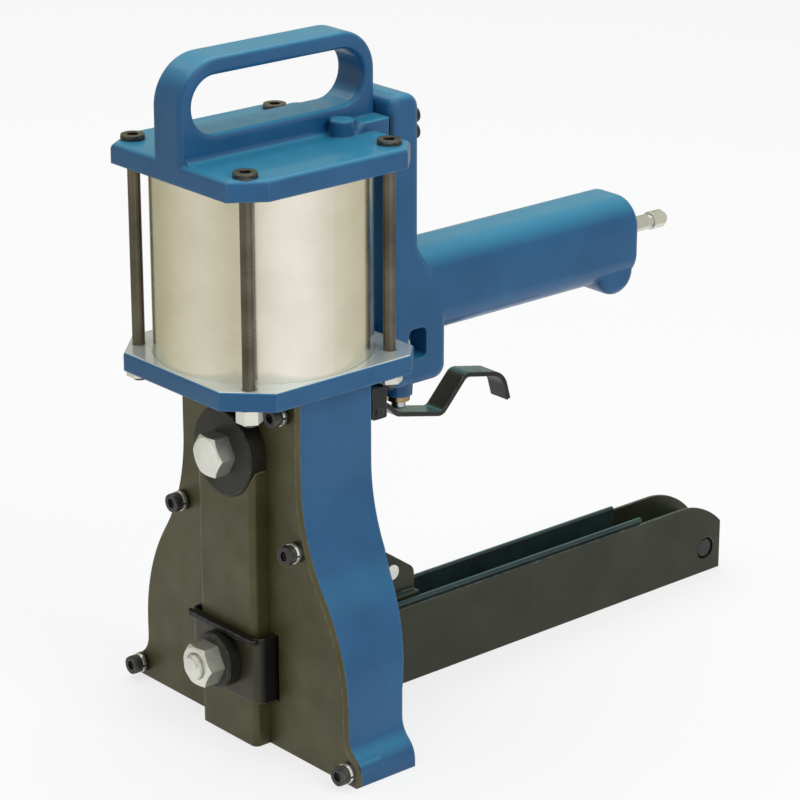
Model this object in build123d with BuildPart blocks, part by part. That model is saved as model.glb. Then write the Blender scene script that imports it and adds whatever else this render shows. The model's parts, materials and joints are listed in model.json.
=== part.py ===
"""Pneumatic carton stapler, in millimetres.

X runs across the tool, Y from the front plate back along the magazine, Z up.
The origin lies in the plane of the foot, under the axis of the air cylinder.
"""
from build123d import *
import os
from math import cos, pi, radians, sin, sqrt

os.makedirs("parts", exist_ok=True)

# General clearances
fit_gap = 0.05          # pins, shafts and guided parts
free_gap = 0.3          # parts that move past each other
overrun = 1.0           # how far a cut runs past a face

# Tie rods and air cylinder
tie_gap = 3.5               # between the tube and the tie rods
tie_radius = 2.5
tie_head_radius = 4.6
tie_head_height = 3.6
tie_head_sink = 1.6         # depth of the heads in the head plate
tie_nut_flats = 9.0
tie_nut_height = 5.5
tie_end = 1.5
tie_socket = 2.5
bore_radius = 40.0
tube_wall = 3.0
tube_clear_height = 74.5    # tube seen between the plates
seat_depth = 2.0            # groove for the tube end in each plate
seal_height = 0.8

# Frame casting
frame_height = 152.5        # foot to underside of base plate
base_thickness = 7.5
base_margin = 10.85         # tie rod axis to the edge of the base plate
base_front_chamfer = 15.5
base_edge = 1.2
base_root = 5.0             # fillet where the frame meets the base plate
rear_chamfer = 9.0
frame_front = -11.0
frame_back = 24.5
foot_back = 16.5
foot_back_height = 30.0     # the back face is upright below this height
back_slope_top = 82.0
waist_half = 35.5
waist_length = 35.5         # upright sides under the base plate
skirt_half = 63.3
skirt_top = 27.0
ear_half = 71.0
ear_top = 19.0
ear_straight = 3.0
frame_wall = 5.0
rear_wall = 5.0
cavity_roof = 6.5           # between the cavity and the base plate
upper_cavity_bottom = 74.0
bracket_half = 17.0         # rear pad under the base plate and column width
rear_pad_height = 11.5
rear_pad_overlap = 1.5
rear_reach = 5.9            # face that carries the grip housing, behind the head plate

# Front plate, guide channel and depth strap
front_thickness = 2.6
channel_half = 17.5
channel_depth = 7.4
channel_wall = 2.0
channel_corner = 2.5
guide_bolt_drop = 31.0      # under the base plate
boss_radius = 18.0
boss_proud = 1.0
boss_edge = 0.6
bolt_radius = 5.0
hex_flats = 16.0
hex_head = 7.5
hex_taper = 9.0             # slope of the bevel on hexagon heads
strap_bottom = 20.5
strap_height = 28.0
strap_thickness = 1.5
strap_lip = 2.5
strap_lip_height = 2.0
strap_side_gap = 3.0        # between the strap and the sides of the channel
lip_corner = 2.0
slot_width = 3.5
collar_radius = 11.5
collar_height = 6.5
collar_edge = 0.8
nut_height = 8.0
stud_end = 2.5
stud_edge = 1.0
plate_screw_radius = 2.5
plate_screw_head = 3.75
plate_screw_head_height = 3.8
spring_washer_height = 1.2
spring_washer_radius = 4.1
spring_washer_slit = 0.8
spacer_height = 1.8
spacer_radius = 4.2
screw_side_inset = 7.0      # upper screws from the upright sides
screw_top_inset = 9.5
middle_screw_drop = 28.5    # middle screws under the upright sides
middle_screw_inset = 4.76   # and from the curved side of the frame
ear_screw_inset = 3.8
ear_screw_z = 6.0
plate_screw_depth = 8.0
socket_depth = 1.6
socket_ratio = 0.9          # corner radius of a socket over the thread radius
screw_boss_radius = 3.6
screw_boss_depth = 11.0

# Cylinder head and handle
head_thickness = 8.0
head_margin = 9.85          # tie rod axis to the edge of the head plate
head_chamfer_x = 9.0        # front corners of the head plate
head_chamfer_y = 13.0
head_edge = 2.5
handle_half_width = 8.7
handle_back_gap = 0.4       # from the face that carries the grip housing
handle_rise = 38.5
handle_bar = 6.8
handle_leg = 6.5
handle_rear_leg = 5.4
handle_corner = 19.0
handle_rear_corner = 16.5
handle_inner_corner = 11.0
handle_edge = 2.3
web_root = 2.5
web_height = 9.5
port_pad_depth = 13.0
port_pad_height = 4.0
port_pad_slope = 5.0        # reach of the sloping front of the pad
port_boss_radius = 5.0
port_boss_x = 13.5
port_boss_reach = 21.4      # in front of the face that carries the grip housing
port_boss_height = 6.5
port_edge = 1.2

# Piston, rod and driver
stroke = 40.0
piston_height = 14.0
piston_top_gap = 3.5
piston_radius_gap = 0.3
rod_radius = 6.0
rod_nut_flats = 18.0
rod_nut_height = 6.0
rod_nut_sink = 1.0
bush_radius = 9.5
bush_flange_radius = 15.0
bush_flange_height = 2.0
bumper_radius = 24.0
bumper_height = 12.0
bumper_edge = 3.0
ring_height = 4.0
ring_depth = 4.0
spring_mean_radius = 31.0
spring_wire_radius = 2.0
spring_turns = 5
holder_half = 15.0
holder_back = 9.0
holder_height = 14.0
holder_corner = 2.0
holder_gap = 4.0            # between the holder and the top of the cavity
rod_grip = 10.0             # depth of the rod in the driver holder
blade_half = 9.25
blade_thickness = 1.8
blade_end_gap = 0.5         # blade tip above the foot at the end of the stroke
blade_screw_x = 9.0
blade_screw_radius = 2.0
blade_screw_head = 3.2
blade_screw_depth = 6.0
rod_drop = 7.0              # blade screws above the underside of the holder

# Clinchers
claw_x = 21.0
claw_z = 20.0
claw_arc = 26.0
claw_half_width = 3.0
claw_hub = 6.5
claw_pin_radius = 3.0
claw_thickness = 7.5
claw_tip_angle = -38.0
claw_span = 80.0
claw_bevel = 6.0            # degrees
claw_spoke = 24.0
claw_heel = 60.0
claw_heel_inset = 0.5
claw_boss_radius = 6.0

# Grip housing
gasket = 0.5
column_depth = 15.4
column_rise = 11.2          # above the head plate
column_corner = 6.0
column_edge = 4.0
block_drop = 19.5           # under the base plate
block_depth = 30.0
grip_rise = 8.7             # above the base plate
grip_height = 36.0
grip_width = 34.0
grip_corner = 12.5
grip_length = 107.8
grip_edge = 2.5
rest_radius = 10.0          # finger rest under the end of the grip
rest_inset = 0.3
rest_drop = 4.7
rest_half = 15.5
rest_edge = 4.0
column_screw_radius = 2.0
column_screw_head = 3.1
column_screw_head_height = 2.4
column_screw_sink = 1.6     # depth of the heads in the column
column_screw_x = 12.5
column_screw_depth = 7.0
column_screw_rows = (-5.2, 1.4)     # from the top of the head plate
pocket_length = 9.5
pocket_depth = 10.0
pocket_height = 13.0
pocket_web = 9.0
pocket_corner = 2.8
pocket_screw_x = 12.0
pocket_screw_drop = 1.7     # under the base plate

# Air plug
plug_rise = 0.3             # above the middle of the grip
plug_tip_radius = 3.9
plug_neck_radius = 2.6
plug_collar_flats = 12.0
plug_collar = 6.8
plug_body_radius = 3.3
plug_body = 14.0
plug_neck = 2.0
plug_tip = 8.3
plug_thread = 5.0
plug_thread_length = 10.0
plug_bore = 1.6
plug_step = 0.5             # length of the cones beside the neck
plug_nose = 2.0

# Valve and trigger
valve_reach = 18.1          # behind the front of the housing
valve_boss_radius = 6.3
valve_boss_tip = 5.8
valve_boss_drop = 8.9
valve_boss_root = 4.0       # curve behind the boss, where it meets the block
valve_bore = 4.8
valve_depth = 18.0
stem_radius = 3.0
stem_head_radius = 4.4
stem_head_height = 3.0
stem_drop = 3.5
stem_edge = 1.0
bush_length = 12.0
bush_proud = 2.4            # under the tip of the boss
valve_wire = 0.55
valve_turns = 5
lever_half = 6.5            # knuckle
strip_half = 5.0
lever_thickness = 2.0
lever_pivot_reach = 1.1     # behind the front of the housing
lever_pivot_drop = 11.0     # under the valve block
lever_knuckle = 3.2
trigger_pin_radius = 2.0
trigger_pin_proud = 0.3
lever_root_rise = 1.2       # middle of the strip above the pivot
lever_root_length = 6.5     # behind the pivot, as the next lengths are
lever_flat_start = 12.4
lever_flat_drop = 4.5       # under the pivot, as the next drops are
lever_flat_end = 36.7
lever_heel_drop = 10.2
lever_top_start = 49.9
lever_top_rise = 3.8
lever_top_end = 70.4
lever_top_fall = 4.4
lever_tip_reach = 73.8
lever_tip_drop = 12.5
lever_bend = 4.0
lever_tip_bend = 9.0
bracket_wall = 1.6
bracket_length = 7.6
bracket_end = 2.6           # under the pivot
bracket_corner = 1.0
bracket_foot = 14.0
bracket_screw_reach = 7.5
bracket_screw_x = 4.5
bracket_screw_radius = 1.5
bracket_screw_head = 2.6
bracket_screw_head_height = 1.6
bracket_screw_depth = 6.0

# Magazine
magazine_half = 10.75
magazine_wall = 1.2
magazine_bottom = 0.0
magazine_top = 34.0
magazine_front = -8.8
magazine_end = 251.7
end_run = 26.0              # rounded rear end of the walls
end_fall = 11.5
end_hole_radius = 5.2
end_hole_inset = 9.3
end_hole_z = 11.4
end_pin_radius = 4.0
end_pin_inset = 0.5
tab_width = 9.5
tab_bottom = 4.0
tab_height = 13.0
tab_screw_x = 16.0
tab_screw_rows = (7.2, 14.0)
tab_screw_radius = 1.5
tab_screw_head = 2.75
tab_screw_head_height = 3.0
tab_screw_depth = 4.0
rail_wall = 1.5
rail_gap = 2.5              # behind the frame
rail_length = 175.0
rail_bottom = 24.0
rail_top = 35.3
rail_roll = 1.2
core_half = 8.2
core_top = 21.0
core_end_inset = 2.0
core_wall = 1.5
pusher_gap = 17.5           # behind the frame
pusher_length = 32.0
pusher_top = 60.0
pusher_slope_start = 14.2   # behind the front of the pusher
pusher_back_top = 47.4
pusher_corner = 5.0
pusher_shoulder = 38.0      # the lug above it is narrower
lug_half = 4.2
pusher_leg_bottom = 9.0
pusher_cheek = 1.6
leg_thickness = 0.9
leg_top = 23.6
leg_bridge = 3.2
axle_reach = 19.5           # behind the front of the pusher
axle_drop = 11.3
axle_radius = 2.5
axle_head_radius = 3.3
axle_head = 1.2
roll_radius = 5.6

# Derived levels
tube_radius = bore_radius + tube_wall
tie_half = (tube_radius + tie_gap + tie_radius) / sqrt(2)
base_half = tie_half + base_margin
head_half = tie_half + head_margin
rear_face = head_half + rear_reach
base_top = frame_height + base_thickness
head_bottom = base_top + tube_clear_height
head_top = head_bottom + head_thickness
tie_seat = head_top - tie_head_sink
cavity_top = frame_height - cavity_roof
waist_bottom = frame_height - waist_length
guide_bolt_height = frame_height - guide_bolt_drop
front_face = frame_front - front_thickness
channel_front = front_face - channel_depth
column_front = rear_face + gasket
column_back = column_front + column_depth
block_back = column_front + block_depth
block_bottom = frame_height - block_drop
column_top = head_top + column_rise
grip_axis = base_top + grip_rise
grip_bottom = grip_axis - grip_height / 2
grip_end = block_back + grip_length
plug_axis = grip_axis + plug_rise
valve_y = column_front + valve_reach
boss_tip_z = block_bottom - valve_boss_drop
lever_pivot_y = column_front + lever_pivot_reach
lever_pivot_z = block_bottom - lever_pivot_drop
rail_front = frame_back + rail_gap
rail_end = rail_front + rail_length
pusher_front = frame_back + pusher_gap
axle_y = pusher_front + axle_reach
axle_z = pusher_top - axle_drop
piston_top = head_bottom - piston_top_gap
piston_bottom = piston_top - piston_height
magazine_inner = magazine_half - magazine_wall
port_pad_top = head_top + port_pad_height
port_pad_start = rear_face - port_pad_depth
pusher_half = magazine_inner - fit_gap - rail_wall / 2 - rail_roll - free_gap
holder_top = cavity_top - holder_gap
holder_bottom = holder_top - holder_height
blade_tip = stroke + blade_end_gap
blade_screw_z = holder_bottom + rod_drop
core_end = magazine_end - core_end_inset
strap_middle = strap_bottom + strap_height / 2
strap_inner = channel_half + strap_side_gap
slot_x = strap_inner - free_gap + slot_width / 2
pocket_screw_z = frame_height - pocket_screw_drop
pocket_screw_points = [(side * pocket_screw_x, pocket_screw_z) for side in (-1, 1)]
column_screw_points = [(side * column_screw_x, head_top + z)
                       for z in column_screw_rows for side in (-1, 1)]
bracket_screw_points = [(side * bracket_screw_x, lever_pivot_y + bracket_screw_reach) for side in (-1, 1)]
gasket_bottom = frame_height - rear_pad_height
gasket_top = base_top - seat_depth - seal_height
tab_screw_points = [(side * tab_screw_x, z) for z in tab_screw_rows for side in (-1, 1)]


def facing_front(y):
    """Plane across the tool at depth y, drawn from the front; extrusions run towards the front."""
    return Plane.XZ.offset(-y)


def save(piece, name):
    """Labels a finished piece and writes its STEP file."""
    piece.part.label = name
    export_step(piece.part, f"parts/{name}.step")


def s_curve(start, end):
    """Two equal tangent arcs that leave and arrive upright."""
    middle = ((start[0] + end[0]) / 2, (start[1] + end[1]) / 2)
    TangentArc(start, middle, tangent=(0, -1))
    TangentArc(end, middle, tangent=(0, 1))


def half_outline(inset, top, bottom):
    """Right half of the flared frame seen from the front, moved in by inset."""
    waist, skirt, ear = waist_half - inset, skirt_half - inset, ear_half - inset
    Line((0, top), (waist, top))
    Line((waist, top), (waist, waist_bottom))
    s_curve((waist, waist_bottom), (skirt, skirt_top))
    Line((skirt, skirt_top), (skirt, ear_top))
    s_curve((skirt, ear_top), (ear, ear_straight))
    Line((ear, ear_straight), (ear, bottom))
    Line((ear, bottom), (0, bottom))
    Line((0, bottom), (0, top))


def side_at(height):
    """Half width of the frame at a height on the two arcs of its side."""
    half_step, half_drop = (skirt_half - waist_half) / 2, (waist_bottom - skirt_top) / 2
    radius = (half_step ** 2 + half_drop ** 2) / (2 * half_step)
    down, up = waist_bottom - height, height - skirt_top
    if down < up:
        return waist_half + radius - sqrt(radius ** 2 - down ** 2)
    return skirt_half - radius + sqrt(radius ** 2 - up ** 2)


def hex_corners(flats):
    """Corner radius of a hexagon of this width across flats."""
    return flats / sqrt(3)


# Screws of the front plate: upper, middle and ear pairs
middle_screw_z = waist_bottom - middle_screw_drop
screw_rows = ((waist_half - screw_side_inset, frame_height - screw_top_inset),
              (side_at(middle_screw_z) - middle_screw_inset, middle_screw_z),
              (ear_half - ear_screw_inset, ear_screw_z))
plate_screw_points = [(side * x, z) for x, z in screw_rows for side in (-1, 1)]

# Base plate of the cylinder, cast in one with the frame
with BuildPart() as base_plate:
    with BuildSketch(Plane.XY.offset(frame_height)):
        plate_outline = Rectangle(2 * base_half, 2 * base_half)
        chamfer(plate_outline.vertices().group_by(Axis.Y)[0], base_front_chamfer)
        chamfer(plate_outline.vertices().group_by(Axis.Y)[-1], rear_chamfer)
    extrude(amount=base_thickness)
    fillet(base_plate.faces().sort_by(Axis.Z)[-1].edges(), base_edge)

# Frame casting: base plate, flared hollow frame, rear pad and clincher bosses
with BuildPart() as frame_casting:
    with BuildSketch(facing_front(frame_back)):
        with BuildLine():
            half_outline(0, frame_height, 0)
        make_face()
        mirror(about=Plane.YZ)
    extrude(amount=frame_back - frame_front)
    with BuildSketch(Plane.YZ):
        with BuildLine():
            Polyline((foot_back, -overrun), (foot_back, foot_back_height), (frame_back, back_slope_top),
                     (frame_back + overrun, back_slope_top), (frame_back + overrun, -overrun), close=True)
        make_face()
    extrude(amount=ear_half + overrun, both=True, mode=Mode.SUBTRACT)
    with BuildSketch(facing_front(foot_back - rear_wall)):
        with BuildLine():
            half_outline(frame_wall, cavity_top, -overrun)
        make_face()
        mirror(about=Plane.YZ)
    extrude(amount=foot_back - rear_wall - frame_front, mode=Mode.SUBTRACT)
    with BuildSketch(facing_front(frame_back - rear_wall)):
        with Locations((0, (upper_cavity_bottom + cavity_top) / 2)):
            Rectangle(2 * (waist_half - frame_wall), cavity_top - upper_cavity_bottom)
    extrude(amount=frame_back - foot_back, mode=Mode.SUBTRACT)
    add(base_plate.part)
    fillet([edge for edge in frame_casting.edges().filter_by(Axis.Y)
            if abs(edge.center().Z - frame_height) < fit_gap
            and abs(abs(edge.center().X) - waist_half) < fit_gap], base_root)
    with BuildSketch(Plane.XY.offset(frame_height - rear_pad_height)):
        rear_pad_start = frame_back - rear_pad_overlap
        with Locations((0, (rear_pad_start + rear_face) / 2)):
            Rectangle(2 * bracket_half, rear_face - rear_pad_start)
    extrude(amount=gasket_top - frame_height + rear_pad_height)
    with BuildSketch(facing_front(foot_back - rear_wall)):
        with Locations((claw_x, claw_z), (-claw_x, claw_z)):
            Circle(claw_boss_radius)
    extrude(amount=foot_back - rear_wall - frame_front - claw_thickness - free_gap)
    with BuildSketch(facing_front(foot_back - rear_wall)):
        with Locations((claw_x, claw_z), (-claw_x, claw_z)):
            Circle(claw_pin_radius)
    extrude(amount=foot_back - rear_wall - frame_front, mode=Mode.SUBTRACT)
    with BuildSketch(facing_front(frame_back + overrun)):
        with Locations((0, (rail_top + rail_roll) / 2)):
            Rectangle(2 * (magazine_half + free_gap), rail_top + rail_roll + 2 * overrun)
    extrude(amount=frame_back - foot_back + rear_wall + 2 * overrun, mode=Mode.SUBTRACT)
    with BuildSketch(Plane.XY.offset(base_top - seat_depth - seal_height)):
        Circle(tube_radius + fit_gap)
        Circle(bore_radius - fit_gap, mode=Mode.SUBTRACT)
    extrude(amount=seat_depth + seal_height, mode=Mode.SUBTRACT)
    with BuildSketch(Plane.XY.offset(cavity_top)):
        Circle(bush_radius)
    extrude(amount=base_top - cavity_top, mode=Mode.SUBTRACT)
    with BuildSketch(Plane.XY.offset(frame_height)):
        with GridLocations(2 * tie_half, 2 * tie_half, 2, 2):
            Circle(tie_radius + fit_gap)
    extrude(amount=base_thickness, mode=Mode.SUBTRACT)
    with BuildSketch(facing_front(frame_front + screw_boss_depth)):
        with Locations(*plate_screw_points):
            Circle(screw_boss_radius)
    extrude(amount=screw_boss_depth)
    with BuildSketch(facing_front(frame_front + plate_screw_depth)):
        with Locations(*plate_screw_points):
            Circle(plate_screw_radius)
    extrude(amount=plate_screw_depth, mode=Mode.SUBTRACT)
    with BuildSketch(facing_front(rear_face)):
        with Locations(*pocket_screw_points):
            Circle(column_screw_radius)
    extrude(amount=column_screw_depth, mode=Mode.SUBTRACT)
    with BuildSketch(facing_front(foot_back)):
        with Locations(*tab_screw_points):
            Circle(tab_screw_radius)
    extrude(amount=tab_screw_depth, mode=Mode.SUBTRACT)
save(frame_casting, "frame_casting")

# Front plate with its holes and the two slots for the depth strap
with BuildPart() as front_plate:
    with BuildSketch(facing_front(frame_front)):
        with BuildLine():
            half_outline(0, frame_height - free_gap, 0)
        make_face()
        mirror(about=Plane.YZ)
        with Locations(*plate_screw_points):
            Circle(plate_screw_radius + fit_gap, mode=Mode.SUBTRACT)
        with Locations((0, guide_bolt_height), (0, strap_middle)):
            Circle(bolt_radius + fit_gap, mode=Mode.SUBTRACT)
        with Locations((slot_x, strap_middle), (-slot_x, strap_middle)):
            Rectangle(slot_width, strap_height + 2 * free_gap, mode=Mode.SUBTRACT)
    extrude(amount=front_thickness)
save(front_plate, "front_plate")

# Guide channel: hat section with rounded corners, cut out at the top for the boss
with BuildPart() as guide_channel:
    with BuildSketch():
        with Locations((0, (front_face + channel_front) / 2)):
            hat = Rectangle(2 * channel_half, channel_depth)
        fillet(hat.vertices().group_by(Axis.Y)[0], channel_corner)
        with Locations((0, (front_face + channel_front + channel_wall) / 2)):
            Rectangle(2 * (channel_half - channel_wall), channel_depth - channel_wall, mode=Mode.SUBTRACT)
    extrude(amount=guide_bolt_height)
    with BuildSketch(facing_front(front_face)):
        with Locations((0, guide_bolt_height)):
            Circle(boss_radius + fit_gap)
        with Locations((0, strap_middle)):
            Circle(bolt_radius + fit_gap)
    extrude(amount=channel_depth, mode=Mode.SUBTRACT)
save(guide_channel, "guide_channel")

# Round boss at the head of the channel
with BuildPart() as guide_boss:
    with BuildSketch(facing_front(front_face)):
        with Locations((0, guide_bolt_height)):
            Circle(boss_radius)
            Circle(bolt_radius + fit_gap, mode=Mode.SUBTRACT)
    extrude(amount=channel_depth + boss_proud)
    rim = guide_boss.edges().filter_by(GeomType.CIRCLE).group_by(Axis.Y)[0].sort_by(SortBy.RADIUS)[-1]
    chamfer(rim, boss_edge)
save(guide_boss, "guide_boss")


def hexagon_bolt(seat_y, height, flats, head, radius, tail_y):
    """Hexagon head seated at seat_y and pointing to the front, with a shank back to tail_y."""
    with BuildPart() as bolt:
        with BuildSketch(facing_front(seat_y)):
            with Locations((0, height)):
                RegularPolygon(hex_corners(flats), 6)
        extrude(amount=head)
        with BuildSketch(facing_front(seat_y)):
            with Locations((0, height)):
                Circle(hex_corners(flats))
        extrude(amount=head, taper=hex_taper, mode=Mode.INTERSECT)
        with BuildSketch(facing_front(tail_y)):
            with Locations((0, height)):
                Circle(radius)
        extrude(amount=tail_y - seat_y)
    return bolt


boss_front = channel_front - boss_proud
guide_bolt = hexagon_bolt(boss_front, guide_bolt_height, hex_flats, hex_head, bolt_radius,
                          frame_front - fit_gap)
save(guide_bolt, "guide_bolt")

# Depth strap: bent round the channel, with its two sides through the slots of the front plate
strap_middle_x = strap_inner + strap_thickness / 2
strap_middle_y = channel_front - fit_gap - strap_thickness / 2
strap_front = strap_middle_y - strap_thickness / 2
strap_tail = frame_front - fit_gap
with BuildPart() as depth_strap:
    with BuildSketch(Plane.XY.offset(strap_bottom)):
        with BuildLine():
            FilletPolyline((-strap_middle_x, strap_tail), (-strap_middle_x, strap_middle_y),
                           (strap_middle_x, strap_middle_y), (strap_middle_x, strap_tail),
                           radius=channel_corner + strap_thickness / 2)
        trace(line_width=strap_thickness)
    extrude(amount=strap_height)
    with BuildSketch(Plane.XY.offset(strap_bottom + strap_height - strap_lip_height)):
        with Locations((0, strap_front - strap_lip / 2)):
            lip = Rectangle(2 * strap_middle_x, strap_lip)
        fillet(lip.vertices().group_by(Axis.Y)[0], lip_corner)
    extrude(amount=strap_lip_height)
    with BuildSketch(facing_front(strap_middle_y + strap_thickness)):
        with Locations((0, strap_middle)):
            Circle(bolt_radius + fit_gap)
    extrude(amount=2 * strap_thickness, mode=Mode.SUBTRACT)
save(depth_strap, "depth_strap")

# Collar and nut with the stud that holds the strap
with BuildPart() as strap_collar:
    with BuildSketch(facing_front(strap_front)):
        with Locations((0, strap_middle)):
            Circle(collar_radius)
            Circle(bolt_radius + fit_gap, mode=Mode.SUBTRACT)
    extrude(amount=collar_height)
    rim = strap_collar.edges().filter_by(GeomType.CIRCLE).group_by(Axis.Y)[0].sort_by(SortBy.RADIUS)[-1]
    chamfer(rim, collar_edge)
save(strap_collar, "strap_collar")

collar_front = strap_front - collar_height
with BuildPart() as strap_stud:
    with BuildSketch(facing_front(frame_front - fit_gap)):
        with Locations((0, strap_middle)):
            Circle(bolt_radius)
    extrude(amount=frame_front - fit_gap - collar_front + nut_height + stud_end)
    chamfer(strap_stud.edges().group_by(Axis.Y)[0], stud_edge)
save(strap_stud, "strap_stud")

with BuildPart() as strap_nut:
    with BuildSketch(facing_front(collar_front)):
        with Locations((0, strap_middle)):
            RegularPolygon(hex_corners(hex_flats), 6)
            Circle(bolt_radius + fit_gap, mode=Mode.SUBTRACT)
    extrude(amount=nut_height)
    with BuildSketch(facing_front(collar_front)):
        with Locations((0, strap_middle)):
            Circle(hex_corners(hex_flats))
    extrude(amount=nut_height, taper=hex_taper, mode=Mode.INTERSECT)
save(strap_nut, "strap_nut")

# Spacers, spring washers and socket screws of the front plate
with BuildPart() as plate_spacers:
    with BuildSketch(facing_front(front_face)):
        with Locations(*plate_screw_points):
            Circle(spacer_radius)
            Circle(plate_screw_radius + fit_gap, mode=Mode.SUBTRACT)
    extrude(amount=spacer_height)
save(plate_spacers, "plate_spacers")

spacer_front = front_face - spacer_height
with BuildPart() as plate_spring_washers:
    with BuildSketch(facing_front(spacer_front)):
        with Locations(*plate_screw_points):
            Circle(spring_washer_radius)
            Circle(plate_screw_radius + fit_gap, mode=Mode.SUBTRACT)
        with Locations(*[(x + spring_washer_radius / 2, z) for x, z in plate_screw_points]):
            Rectangle(spring_washer_radius, spring_washer_slit, mode=Mode.SUBTRACT)
    extrude(amount=spring_washer_height)
save(plate_spring_washers, "plate_spring_washers")

washer_front = spacer_front - spring_washer_height
with BuildPart() as plate_screws:
    with BuildSketch(facing_front(washer_front)):
        with Locations(*plate_screw_points):
            Circle(plate_screw_head)
    extrude(amount=plate_screw_head_height)
    with BuildSketch(facing_front(washer_front - plate_screw_head_height + socket_depth)):
        with Locations(*plate_screw_points):
            RegularPolygon(plate_screw_radius * socket_ratio, 6)
    extrude(amount=socket_depth, mode=Mode.SUBTRACT)
    with BuildSketch(facing_front(frame_front + plate_screw_depth)):
        with Locations(*plate_screw_points):
            Circle(plate_screw_radius)
    extrude(amount=frame_front + plate_screw_depth - washer_front)
save(plate_screws, "plate_screws")

# Cylinder tube and its two flat seals
with BuildPart() as cylinder_tube:
    with BuildSketch(Plane.XY.offset(base_top - seat_depth)):
        Circle(tube_radius)
        Circle(bore_radius, mode=Mode.SUBTRACT)
    extrude(amount=tube_clear_height + 2 * seat_depth)
save(cylinder_tube, "cylinder_tube")


def flat_seal(bottom):
    """Flat ring under or over the end of the tube."""
    with BuildPart() as seal:
        with BuildSketch(Plane.XY.offset(bottom)):
            Circle(tube_radius)
            Circle(bore_radius, mode=Mode.SUBTRACT)
        extrude(amount=seal_height)
    return seal


base_seal = flat_seal(base_top - seat_depth - seal_height)
save(base_seal, "base_seal")
head_seal = flat_seal(head_bottom + seat_depth)
save(head_seal, "head_seal")

# Handle of the cylinder head, with the web between its legs, rooted in the head plate
handle_front = -head_half
handle_back = rear_face - handle_back_gap
handle_top = head_top + handle_rise
with BuildPart() as handle:
    with BuildSketch(Plane.YZ) as handle_side:
        with Locations(((handle_front + handle_back) / 2, (head_bottom + handle_top) / 2)):
            Rectangle(handle_back - handle_front, handle_top - head_bottom)
        fillet(handle_side.vertices().group_by(Axis.Y)[-1].sort_by(Axis.X)[0], handle_corner)
        fillet(handle_side.vertices().group_by(Axis.Y)[-1].sort_by(Axis.X)[-1], handle_rear_corner)
        opening_bottom = head_top + web_height
        opening_top = handle_top - handle_bar
        opening_front = handle_front + handle_leg
        opening_back = handle_back - handle_rear_leg
        with Locations(((opening_front + opening_back) / 2, (opening_bottom + opening_top) / 2)):
            RectangleRounded(opening_back - opening_front, opening_top - opening_bottom,
                             handle_inner_corner, mode=Mode.SUBTRACT)
    extrude(amount=handle_half_width, both=True)
    fillet(handle.faces().group_by(Axis.X)[0].edges()
           + handle.faces().group_by(Axis.X)[-1].edges(), handle_edge)

# Raised pad over the air port, and the two round bosses in front of it
with BuildPart() as port_pad:
    with BuildSketch(Plane.YZ):
        pad_root = head_top - port_pad_height
        with BuildLine():
            Polyline((port_pad_start - 2 * port_pad_slope, pad_root), (rear_face, pad_root),
                     (rear_face, port_pad_top), (port_pad_start, port_pad_top), close=True)
        make_face()
    extrude(amount=bracket_half, both=True)
    pad_rim = port_pad.edges().filter_by_position(Axis.Z, head_top, port_pad_top).sort_by(Axis.Y)[:-1]
    fillet(pad_rim, port_edge)

with BuildPart() as port_bosses:
    with BuildSketch(Plane.XY.offset(head_bottom)):
        port_boss_y = rear_face - port_boss_reach
        with Locations((port_boss_x, port_boss_y), (-port_boss_x, port_boss_y)):
            Circle(port_boss_radius)
    extrude(amount=head_thickness + port_boss_height)
    fillet(port_bosses.edges().group_by(Axis.Z)[-1], port_edge)

# Cylinder head: plate with rounded edges, handle, roots of its web and the port pad
with BuildPart() as cylinder_head:
    with BuildSketch(Plane.XY.offset(head_bottom)):
        with BuildLine():
            corner_x, corner_y = head_half - head_chamfer_x, head_half - head_chamfer_y
            rear_corner = head_half - rear_chamfer
            Polyline((-corner_x, -head_half), (corner_x, -head_half), (head_half, -corner_y),
                     (head_half, rear_corner), (rear_corner, head_half), (-rear_corner, head_half),
                     (-head_half, rear_corner), (-head_half, -corner_y), close=True)
        make_face()
    extrude(amount=head_thickness)
    fillet(cylinder_head.faces().sort_by(Axis.Z)[-1].edges(), head_edge)
    add(handle.part)
    add(port_pad.part)
    add(port_bosses.part)
    with BuildSketch(facing_front(port_pad_start)):
        for side in (-1, 1):
            root_x, root_out = side * handle_half_width, side * (handle_half_width + web_root)
            with BuildLine():
                Line((root_x, head_top + web_root), (root_x, head_top))
                Line((root_x, head_top), (root_out, head_top))
                TangentArc((root_out, head_top), (root_x, head_top + web_root), tangent=(-side, 0))
            make_face()
    extrude(amount=port_pad_start - handle_front - head_edge)
    with BuildSketch(Plane.XY.offset(head_bottom)):
        Circle(tube_radius + fit_gap)
        Circle(bore_radius - fit_gap, mode=Mode.SUBTRACT)
    extrude(amount=seat_depth + seal_height, mode=Mode.SUBTRACT)
    with BuildSketch(Plane.XY.offset(head_bottom)):
        with GridLocations(2 * tie_half, 2 * tie_half, 2, 2):
            Circle(tie_radius + fit_gap)
    extrude(amount=head_thickness, mode=Mode.SUBTRACT)
    with BuildSketch(Plane.XY.offset(tie_seat)):
        with GridLocations(2 * tie_half, 2 * tie_half, 2, 2):
            Circle(tie_head_radius + fit_gap)
    extrude(amount=tie_head_sink + overrun, mode=Mode.SUBTRACT)
    with BuildSketch(facing_front(rear_face)):
        with Locations(*column_screw_points):
            Circle(column_screw_radius)
    extrude(amount=column_screw_depth, mode=Mode.SUBTRACT)
save(cylinder_head, "cylinder_head")

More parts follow.
